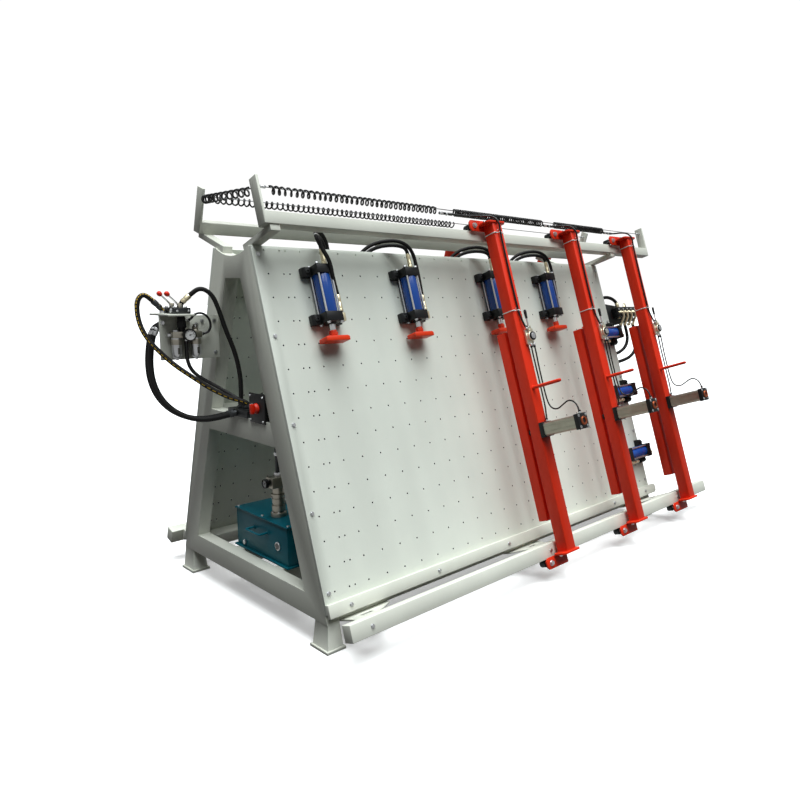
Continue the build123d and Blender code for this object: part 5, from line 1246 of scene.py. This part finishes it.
class PRESS_OT_air_cylinders(bpy.types.Operator):
    """Builds the air cylinders and hand valves on the beams"""

    bl_idname = "press.air_cylinders"
    bl_label = "Air cylinders"

    def execute(self, context):
        finishes = [
            "drawn aluminium", "black stove paint", "cast aluminium", "bronze ring", "bright zinc",
            "black nylon",
        ]
        for word, side, number, x in each_beam():
            bm = bmesh.new()
            self.cylinder(bm)
            self.valve(bm)
            bmesh.ops.translate(bm, verts=bm.verts, vec=(x, 0, 0))
            piece(f"{word}_air_cylinder_{number}_body", bm, finishes, f"{word}_carriage_{number}",
                  [f"{word}_air_cylinder_{number}"], side)
        return {"FINISHED"}

    def cylinder(self, bm):
        # A side with two sensor grooves, then a rounded corner
        quarter = [
            (-20, 35), (-15, 35), (-14.5, 32.5), (-11.5, 32.5), (-11, 35),
            (11, 35), (11.5, 32.5), (14.5, 32.5), (15, 35), (20, 35),
        ]
        quarter += [(19 + 16 * sin(radians(a)), 19 + 16 * cos(radians(a))) for a in (10, 30, 50, 70)]
        outline = []
        for turn in range(4):
            s, c = sin(-turn * pi / 2), cos(-turn * pi / 2)
            outline += [(a * c - b * s, CYLINDER_U + a * s + b * c) for a, b in quarter]
        plate(bm, outline, BODY_START, BODY_END, 0, 0)
        for low, high in ((BEAM_FRONT, BODY_START), (BODY_END, CAP_END)):
            block(bm, (-39, CYLINDER_U - 39, low), (39, CYLINDER_U + 39, high), 1, 4)
        for a, b in product((-28, 28), repeat=2):
            cap_screw(bm, (a, CYLINDER_U + b, CAP_END - 5), UP, 9, 4)
        turned(bm, (0, CYLINDER_U, CAP_END), UP, [
            (0, 13), (0, 22), (5, 22), (8, 20), (8, 15), (3, 13), (0, 13),
        ], 3, sides=36)
        rod(bm, (0, CYLINDER_U, CAP_END), (0, CYLINDER_U, CAP_END + 2), 26, 1, sides=32)
        for across, out in ((20, BEAM_FRONT + 13), (4, BODY_END + 13)):
            self.push_fitting(bm, (across, CYLINDER_TOP, out), 1, 17, 7)

    def push_fitting(self, bm, point, way, wide, tall):
        """A hexagon and a collar for a tube, pointing up or down the beam."""
        a, b, out = point
        nut(bm, (a, b - 2 * way, out), (a, b + tall * way, out), wide, 4, edge=0.8)
        rod(bm, (a, b + tall * way, out), (a, b + (tall + 9) * way, out), 14, 5, sides=20, edge=1.2)

    def valve(self, bm):
        x, face = VALVE_X, VALVE_FACE
        block(bm, (x - 25, VALVE_LOW, BEAM_FRONT), (x + 25, VALVE_TOP, face), 2, 5)
        for b, a in product((VALVE_LOW + 10, VALVE_TOP - 10), (x - 17, x + 17)):
            cap_screw(bm, (a, b, face), UP, 6, 4)
        turned(bm, (x, VALVE_U, face - 1), UP, [
            (0, 0), (0, 28), (3, 28), (5, 24), (12, 24), (14, 26), (18, 26), (20, 24), (20, 0),
        ], 2, sides=32)
        turned(bm, (x, VALVE_U, face + 19), UP, [(0, 0), (0, 22), (5, 22), (6, 20), (6, 0)], 5, sides=32)
        turned(bm, (x, VALVE_U, face + 24), UP, [(0, 0), (0, 16), (3, 15), (4, 12), (4, 0)], 4, sides=28)
        block(bm, (x - 14, VALVE_TOP - 18, face - 7), (x + 14, VALVE_TOP, face + 18), 2, 3)
        for a in (x - 8.4, x + 8.4):
            block(bm, (a - 2, VALVE_TOP - 2, LEVER_N - 7), (a + 2, VALVE_TOP + 18, LEVER_N + 7), 2, 1)
        rod(bm, (x - 12, LEVER_U, LEVER_N), (x + 12, LEVER_U, LEVER_N), 6, 4, sides=16, edge=0.8)
        for a, b, out, way in (
            (17, VALVE_TOP, BEAM_FRONT + 22, 1), (26, VALVE_LOW, BEAM_FRONT + 20, -1),
            (44, VALVE_LOW, BEAM_FRONT + 24, -1),
        ):
            self.push_fitting(bm, (a, b, out), way, 16, 9)


class PRESS_OT_press_bars(bpy.types.Operator):
    """Builds the press bars on the ends of the air cylinders' rods"""

    bl_idname = "press.press_bars"
    bl_label = "Press bars"

    def execute(self, context):
        for word, side, number, x in each_beam():
            bm = bmesh.new()
            block(bm, (x - 25, BAR_LOW, BAR_BACK), (x + 25, BAR_HIGH, BAR_FRONT), 0, 4)
            for end in (BAR_LOW, BAR_HIGH):
                block(bm, (x - 20, end - 0.5, BAR_BACK + 5), (x + 20, end + 0.5, BAR_FRONT - 5), 2, 0.3)
            rod(bm, (x, CYLINDER_U, BAR_FRONT - 2), (x, CYLINDER_U, PISTON_END), 25, 1, sides=32)
            nut(bm, (x, CYLINDER_U, BAR_FRONT - 1), (x, CYLINDER_U, BAR_FRONT + 11), 36, 2)
            name = f"{word}_press_bar_{number}"
            piece(f"{name}_painted", bm, ["red enamel", "chromed rod", "blackened steel"], name, [name],
                  side)
        return {"FINISHED"}


class PRESS_OT_valve_levers(bpy.types.Operator):
    """Builds the hand levers of the beam valves"""

    bl_idname = "press.valve_levers"
    bl_label = "Valve levers"

    def execute(self, context):
        for word, side, number, x in each_beam():
            bm = bmesh.new()
            across = x + VALVE_X
            rod(bm, (across - 6, LEVER_U, LEVER_N), (across + 6, LEVER_U, LEVER_N), 14, 0, edge=0.8)
            turned(bm, (across, LEVER_U + 4, LEVER_N), (0, 1, 0), [
                (0, 0), (0, 4), (42, 4), (44, 5), (44, 0),
            ], 0, sides=20)
            turned(bm, (across, LEVER_U + 46, LEVER_N), (0, 1, 0), [
                (0, 0), (0, 5), (2, 6.5), (12, 6.6), (34, 8), (42, 7.6), (46, 5.5), (48, 2), (48, 0),
            ], 1, sides=24)
            name = f"{word}_valve_lever_{number}"
            piece(f"{name}_grip", bm, ["chromed rod", "black nylon"], name, [name], side)
        return {"FINISHED"}


class PRESS_OT_wires(bpy.types.Operator):
    """Stretches the wire ropes between the posts"""

    bl_idname = "press.wires"
    bl_label = "Wire ropes"

    def execute(self, context):
        bm = bmesh.new()
        for side in SIDES.values():
            placed(bm, self.side_wire, side)
        placed(bm, self.cross_wire, LEVEL)
        piece("wire_ropes_drawn", bm, ["drawn wire", "bright zinc"], "frame", ["wire_ropes"])
        return {"FINISHED"}

    def side_wire(self, bm):
        rod(bm, (-WIRE_END, WIRE_U, RAIL_MIDDLE), (WIRE_END, WIRE_U, RAIL_MIDDLE), 5, 0, sides=16)
        for way in (1, -1):
            turned(bm, (-way * WIRE_END, WIRE_U, RAIL_MIDDLE), (way, 0, 0), [
                (0, 0), (0, 7), (12, 7), (14, 5.6), (20, 5.6), (22, 7), (36, 7), (40, 5), (40, 2.4),
            ], 1, sides=20)

    def cross_wire(self, bm):
        rod(bm, (POST_X, -CROSS_HALF, CROSS_Z), (POST_X, CROSS_HALF, CROSS_Z), 5, 0, sides=16)


class PRESS_OT_power_unit(bpy.types.Operator):
    """Builds the oil tank and the pump on it"""

    bl_idname = "press.power_unit"
    bl_label = "Power unit"

    def execute(self, context):
        self.tank()
        self.pump()
        return {"FINISHED"}

    def tank(self):
        bm = bmesh.new()
        left, right, deep = TANK_LEFT, TANK_RIGHT, TANK_DEEP
        block(bm, (left - 10, -deep - 10, TANK_FOOT - 8), (right + 10, deep + 10, TANK_FOOT), 0, 1.5)
        block(bm, (left, -deep, TANK_FOOT), (right, deep, TANK_TOP - 6), 0, 5)
        block(bm, (left - 5, -deep - 5, TANK_TOP - 8), (right + 5, deep + 5, TANK_TOP), 0, 2)
        for x, y in product((left + 10, TANK_MIDDLE, right - 10), (8 - deep, 0, deep - 8)):
            if (x, y) != (TANK_MIDDLE, 0):
                cap_screw(bm, (x, y, TANK_TOP), UP, 8, 1)
        turned(bm, (TANK_MIDDLE, 110, TANK_TOP), UP, [
            (0, 24), (6, 24), (6, 29), (20, 29), (24, 26), (26, 20), (26, 0),
        ], 1, sides=36)
        nut(bm, (left, 150, 245), (left - 10, 150, 245), 24, 1)
        rod(bm, (left, -150, 300), (left - 6, -150, 300), 40, 1, sides=28, edge=1)
        rod(bm, (left - 6, -150, 300), (left - 7, -150, 300), 30, 2, sides=28)
        pipe(bm, [(left - out, y, TANK_HANDLE) for out, y in (
            (0, -60), (28, -60), (44, -60), (45, -44), (45, 0), (45, 44), (44, 60), (28, 60), (0, 60),
        )], 10, 0)
        for y in (-60, 60):
            rod(bm, (left, y, TANK_HANDLE), (left - 4, y, TANK_HANDLE), 22, 0, sides=20, edge=1)
        piece("oil_tank_painted", bm, ["tank gloss paint", "bright zinc", "smoked bowl"], "frame",
              ["oil_tank"], LEVEL)

    def pump(self):
        bm = bmesh.new()
        x, y = PUMP_X, PUMP_Y
        turned(bm, (x, y, TANK_TOP), UP, [
            (0, 37), (17, 37), (20, 34), (20, 27), (24, 27), (26, 31), (52, 31), (54, 26), (60, 26), (62, 29),
            (84, 29), (86, 26), (98, 26), (100, 33), (107, 33), (109, 26), (138, 26), (138, 0),
        ], 0, sides=40)
        for turn in range(6):
            angle = turn * pi / 3
            cap_screw(bm, (x + 31 * cos(angle), y + 31 * sin(angle), TANK_TOP + 20), UP, 6, 1)
        block(bm, (x - 45, y - 30, PUMP_LOW), (x + 45, y + 30, PUMP_TOP), 0, 4)
        nut(bm, (x, y, PUMP_TOP), (x, y, PUMP_TOP + 18), 30, 1)
        rod(bm, (x, y, PUMP_TOP + 12), (x, y, PUMP_TOP + 130), 18, 2, edge=1)
        nut(bm, (x, y, PUMP_TOP + 97), (x, y, PUMP_TOP + 113), 27, 1)
        nut(bm, (x + 45, y, PUMP_PORT), (x + 58, y, PUMP_PORT), 22, 1)
        gauge(bm, (x - 45, y, PUMP_PORT), (-1, 0, 0), 42, 24, 3, 4)
        finishes = ["drawn aluminium", "bright zinc", "blackened steel", "black nylon", "dial card"]
        piece("pump_cast", bm, finishes, "frame", ["hydraulic_pump"], LEVEL)


class PRESS_OT_controls(bpy.types.Operator):
    """Builds the valve shelf, its ball levers, the air preparation unit and the main switch"""

    bl_idname = "press.controls"
    bl_label = "Controls"

    def execute(self, context):
        self.bracket()
        self.ball_levers()
        self.air_unit()
        self.regulator_knob()
        self.switch()
        return {"FINISHED"}

    def bracket(self):
        bm = bmesh.new()
        left, right, back = BLOCK_LEFT, BLOCK_RIGHT, BRACKET_FACE + 8
        block(bm, (BRACKET_LEFT, BRACKET_FACE, BRACKET_LOW), (FRAME_LEFT, back, SHELF_LOW), 0, 1.2)
        block(bm, (BRACKET_LEFT, 60, SHELF_LOW), (right, 250, SHELF_TOP), 0, 1.2)
        block(bm, (left, 92, SHELF_TOP), (right, 218, BLOCK_TOP), 3, 3)
        for (y, way), x in product(((92.6, -1), (217.4, 1)), (left + 11, right - 11)):
            cap_screw(bm, (x, y, SPOOL_Z), (0, way, 0), 6, 2)
        for y in SPOOLS:
            nut(bm, (left, y, SPOOL_Z), (left - 8, y, SPOOL_Z), 20, 2)
            nut(bm, (right, y, SPOOL_Z), (right + 6, y, SPOOL_Z), 18, 2)
            for x in (left + 9, right - 11):
                cap_screw(bm, (x, y, BLOCK_TOP), UP, 8, 2)
            for cheek in (y - 8.4, y + 8.4):
                near, far = (PIVOT_X - 7, cheek - 2, BLOCK_TOP - 1), (PIVOT_X + 7, cheek + 2, BLOCK_TOP + 18)
                block(bm, near, far, 1, 0.8)
            rod(bm, (PIVOT_X, y - 12, PIVOT_Z), (PIVOT_X, y + 12, PIVOT_Z), 6, 2, sides=16)
        block(bm, (-1679, back, 1274), (-1639, 220, 1306), 1, 2)
        for y in SUPPLY_INLETS:
            nut(bm, (-1679, y, 1290), (-1688, y, 1288), 27, 2)
        nut(bm, (*SHELF_PORT, SHELF_TOP), (*SHELF_PORT, SHELF_TOP + 12), 26, 2)
        nut(bm, (*VALVE_PORT, BLOCK_TOP), (*VALVE_PORT, BLOCK_TOP + 12), 26, 2)
        for x, z in (
            (-1465, 1165), (-1465, 1305), (-1520, 1305), (-1545, 1290), (-1690, 1300), (-1690, 1165),
        ):
            bolt(bm, (x, BRACKET_FACE, z), (0, -1, 0), 8, 2)
        finishes = ["grey enamel", "cast aluminium", "bright zinc", "blackened steel"]
        piece("control_bracket_dressed", bm, finishes, "frame", ["control_bracket"], LEVEL)

    def ball_levers(self):
        lean = Vector((-sin(radians(45)), 0, cos(radians(45))))
        for number, y in enumerate(SPOOLS, 1):
            bm = bmesh.new()
            pivot = Vector((PIVOT_X, y, PIVOT_Z))
            rod(bm, pivot - Vector((0, 6, 0)), pivot + Vector((0, 6, 0)), 14, 0, edge=0.8)
            rod(bm, pivot + lean * 4, pivot + lean * 60, 8, 0, far=7, sides=20)
            turned(bm, pivot + lean * 58, lean, [
                (0, 0), (0, 5), (1, 7), (5, 9.4), (10, 10.6), (15, 10.4), (19, 8.4), (21, 5.4), (22, 0),
            ], 1, sides=28)
            name = f"valve_lever_{number}"
            piece(f"{name}_ball", bm, ["chromed rod", "red plastic"], name, [name], LEVEL)

    def air_unit(self):
        bm = bmesh.new()
        y, top = UNIT_Y, UNIT_TOP - 1
        for x in BOWLS:
            # Metal bowl guard with a clear slot on its front, a bayonet ring and a drain
            turned(bm, (x, y, BRACKET_LOW), UP, [
                (0, 0), (0, 5), (6, 6), (8, 12), (12, 17), (18, 20), (24, 20.6), (62, 20.6), (63, 21.6),
                (95, 21.6), (95, 0),
            ], 3, sides=36)
            block(bm, (x - 4.5, y - 21.2, BRACKET_LOW + 26), (x + 4.5, y - 17, BRACKET_LOW + 54), 1, 1.5)
            turned(bm, (x, y, BRACKET_LOW + 66), UP, [
                (0, 20), (0, 21.4), (2, 22), (24, 22), (26, 21), (26, 20), (0, 20),
            ], 0, sides=36)
        block(bm, (UNIT_LEFT, UNIT_FACE, UNIT_LOW), (UNIT_RIGHT, BRACKET_FACE, UNIT_TOP), 0, 5)
        for x in (-1625, -1583):
            block(bm, (x - 2, UNIT_FACE - 0.4, UNIT_LOW - 0.4), (x + 2, BRACKET_FACE, UNIT_TOP + 0.4), 5, 0.6)
        for x, finish in ((KNOB_X, 2), (BOWLS[1], 0)):
            collar = [(0, 14), (5, 14), (6, 13), (15, 13), (16.4, 14), (16.4, 0)]
            turned(bm, (x, y, top), UP, collar, finish, sides=28)
        sight = [(0, 14), (0, 12), (6, 12), (9, 9), (14, 8), (14, 0)]
        turned(bm, (BOWLS[1], y, top + 16), UP, sight, 1, sides=28)
        turned(bm, (BOWLS[0], y, top), UP, [(0, 13), (6, 13), (8, 10), (8, 0)], 3, sides=28)
        nut(bm, (UNIT_LEFT, y, UNIT_Z), (UNIT_LEFT - 14, y, UNIT_Z), 20, 3)
        nut(bm, (UNIT_RIGHT, y, UNIT_Z), (UNIT_RIGHT + 8, y, UNIT_Z), 20, 3)
        gauge(bm, (GAUGE_X, UNIT_FACE, UNIT_Z), (0, -1, 0), 52, 24, 2, 4)
        finishes = [
            "drawn aluminium", "smoked bowl", "black nylon", "bright zinc", "dial card", "blackened steel",
        ]
        piece("air_unit_dressed", bm, finishes, "frame", ["air_preparation_unit"], LEVEL)

    def regulator_knob(self):
        bm = bmesh.new()
        turned(bm, (KNOB_X, UNIT_Y, KNOB_Z), UP, [
            (0, 0), (0, 16), (2, 17.2), (26, 17.2), (28, 16.2), (44, 15.6), (48, 13), (48, 0),
        ], 0, sides=36)
        for step in range(18):
            angle = step * pi / 9
            point = Vector((KNOB_X + 16.5 * cos(angle), UNIT_Y + 16.5 * sin(angle), KNOB_Z + 2.6))
            rod(bm, point, point + Vector((0, 0, 22)), 3, 0, sides=6)
        piece("regulator_knob_ribbed", bm, ["black nylon"], "regulator_knob", ["regulator_knob"],
              LEVEL)

    def switch(self):
        bm = bmesh.new()
        face, y, z = SWITCH_FACE, SWITCH_Y, SWITCH_Z
        block(bm, (FRAME_LEFT, y - 54, z - 54), (FRAME_LEFT + 48, y + 54, z + 54), 0, 3)
        block(bm, (face, y - 64, z - 64), (FRAME_LEFT, y + 64, z + 64), 0, 2.4)
        for across, up in product((-52, 52), repeat=2):
            cap_screw(bm, (face, y + across, z + up), (-1, 0, 0), 6, 1)
        piece("switch_box_moulded", bm, ["black nylon", "bright zinc"], "frame", ["switch_box"],
              LEVEL)
        bm = bmesh.new()
        turned(bm, (face - 0.4, y, z), (-1, 0, 0), [
            (0, 0), (0, 23), (4, 23), (13, 20), (15, 18), (15, 0),
        ], 0, sides=36)
        block(bm, (face - 30.4, y - 7, z - 21.6), (face - 14, y + 7, z + 21.6), 0, 3)
        block(bm, (face - 30.4, y - 1, z + 22), (face - 16, y + 1, z + 22.4), 1, 0)
        piece("switch_knob_moulded", bm, ["red plastic", "white nylon"], "switch_knob", ["switch_knob"],
              LEVEL)


class PRESS_OT_fasteners(bpy.types.Operator):
    """Sets the panel, fence and frame bolts, and the cable ties on the beams"""

    bl_idname = "press.fasteners"
    bl_label = "Fasteners"

    def execute(self, context):
        bm = bmesh.new()
        for side in SIDES.values():
            placed(bm, self.side_bolts, side)
        piece("frame_bolts", bm, ["bright zinc"], "frame", ())
        for number, x in enumerate(BEAMS["front"], 1):
            bm = bmesh.new()
            for u in TIE_U:
                self.cable_tie(bm, x, u)
            piece(f"beam_{number}_cable_ties", bm, ["white nylon"], f"front_carriage_{number}", (),
                  FRONT)
        return {"FINISHED"}

    def side_bolts(self, bm):
        for u in (250, 577, 946, 1321, 1673):
            for x in (PANEL_LEFT + 26, PANEL_RIGHT - 26):
                bolt(bm, (x, u, 0), UP, 9)
        for x in (-1339, -852, -372, 110, 600, 960):
            bolt(bm, (x, 181, 20), UP, 9)
        for x in (-1360, -240, 1080):
            bolt(bm, (x, 102, RAIL_FACE), UP, 9)

    def cable_tie(self, bm, x, u):
        # Flat strips round the beam and over the hose: left, right, back and front of each
        front = BEAM_FRONT
        for left, right, low, high in (
            (-36.4, 36.4, -71.4, -69.6), (-36.7, -35.1, -71.4, 1), (35.1, 36.7, -71.4, 1),
            (-36.4, -8, -0.2, 1.4), (8, 36.4, -0.2, 1.4), (-9, 10, 11, 13), (-9, -7, 0, 13), (8, 10, 0, 13),
        ):
            block(bm, (x + left, u - 2.4, front + low), (x + right, u + 2.4, front + high), 0, 0.5)
        block(bm, (x - 30, u - 3.4, front), (x - 22, u + 3.4, front + 5), 0, 0.8)
        rod(bm, (x - 26, u, front + 4), (x - 34, u + 5, front + 26), 3, 0, sides=6)


class PRESS_PT_panel(bpy.types.Panel):
    """Lists the press's colours, sizes and pieces"""

    bl_label = "Frame press"
    bl_idname = "PRESS_PT_panel"
    bl_space_type = "VIEW_3D"
    bl_region_type = "UI"
    bl_category = "Press"

    def draw(self, context):
        for group in (context.scene.press_colours, context.scene.press_sizes):
            for name in group.__annotations__:
                self.layout.prop(group, name)
        for operator in STEPS:
            self.layout.operator(operator.bl_idname)


STEPS = (
    PRESS_OT_finishes, PRESS_OT_stage, PRESS_OT_hydraulic_hoses, PRESS_OT_beam_hoses, PRESS_OT_spiral_hoses,
    PRESS_OT_frame, PRESS_OT_panels, PRESS_OT_rams, PRESS_OT_port_fittings, PRESS_OT_beams,
    PRESS_OT_air_cylinders, PRESS_OT_press_bars, PRESS_OT_valve_levers, PRESS_OT_wires, PRESS_OT_power_unit,
    PRESS_OT_controls, PRESS_OT_fasteners,
)
CLASSES = (PressColours, PressSizes, *STEPS, PRESS_PT_panel)


def register():
    """Registers the classes and hangs the settings on the scene."""
    for item in CLASSES:
        bpy.utils.register_class(item)
    bpy.types.Scene.press_colours = bpy.props.PointerProperty(type=PressColours)
    bpy.types.Scene.press_sizes = bpy.props.PointerProperty(type=PressSizes)


def unregister():
    """Takes the settings and classes away again."""
    del bpy.types.Scene.press_sizes
    del bpy.types.Scene.press_colours
    for item in reversed(CLASSES):
        bpy.utils.unregister_class(item)


def main():
    """Builds the dressed press."""
    register()
    bpy.ops.press.finishes()
    bpy.ops.press.stage()
    bpy.ops.press.hydraulic_hoses()
    bpy.ops.press.beam_hoses()
    bpy.ops.press.spiral_hoses()
    bpy.ops.press.frame()
    bpy.ops.press.panels()
    bpy.ops.press.rams()
    bpy.ops.press.port_fittings()
    bpy.ops.press.beams()
    bpy.ops.press.air_cylinders()
    bpy.ops.press.press_bars()
    bpy.ops.press.valve_levers()
    bpy.ops.press.wires()
    bpy.ops.press.power_unit()
    bpy.ops.press.controls()
    bpy.ops.press.fasteners()
    bpy.context.view_layer.update()


if __name__ == "__main__":
    main()
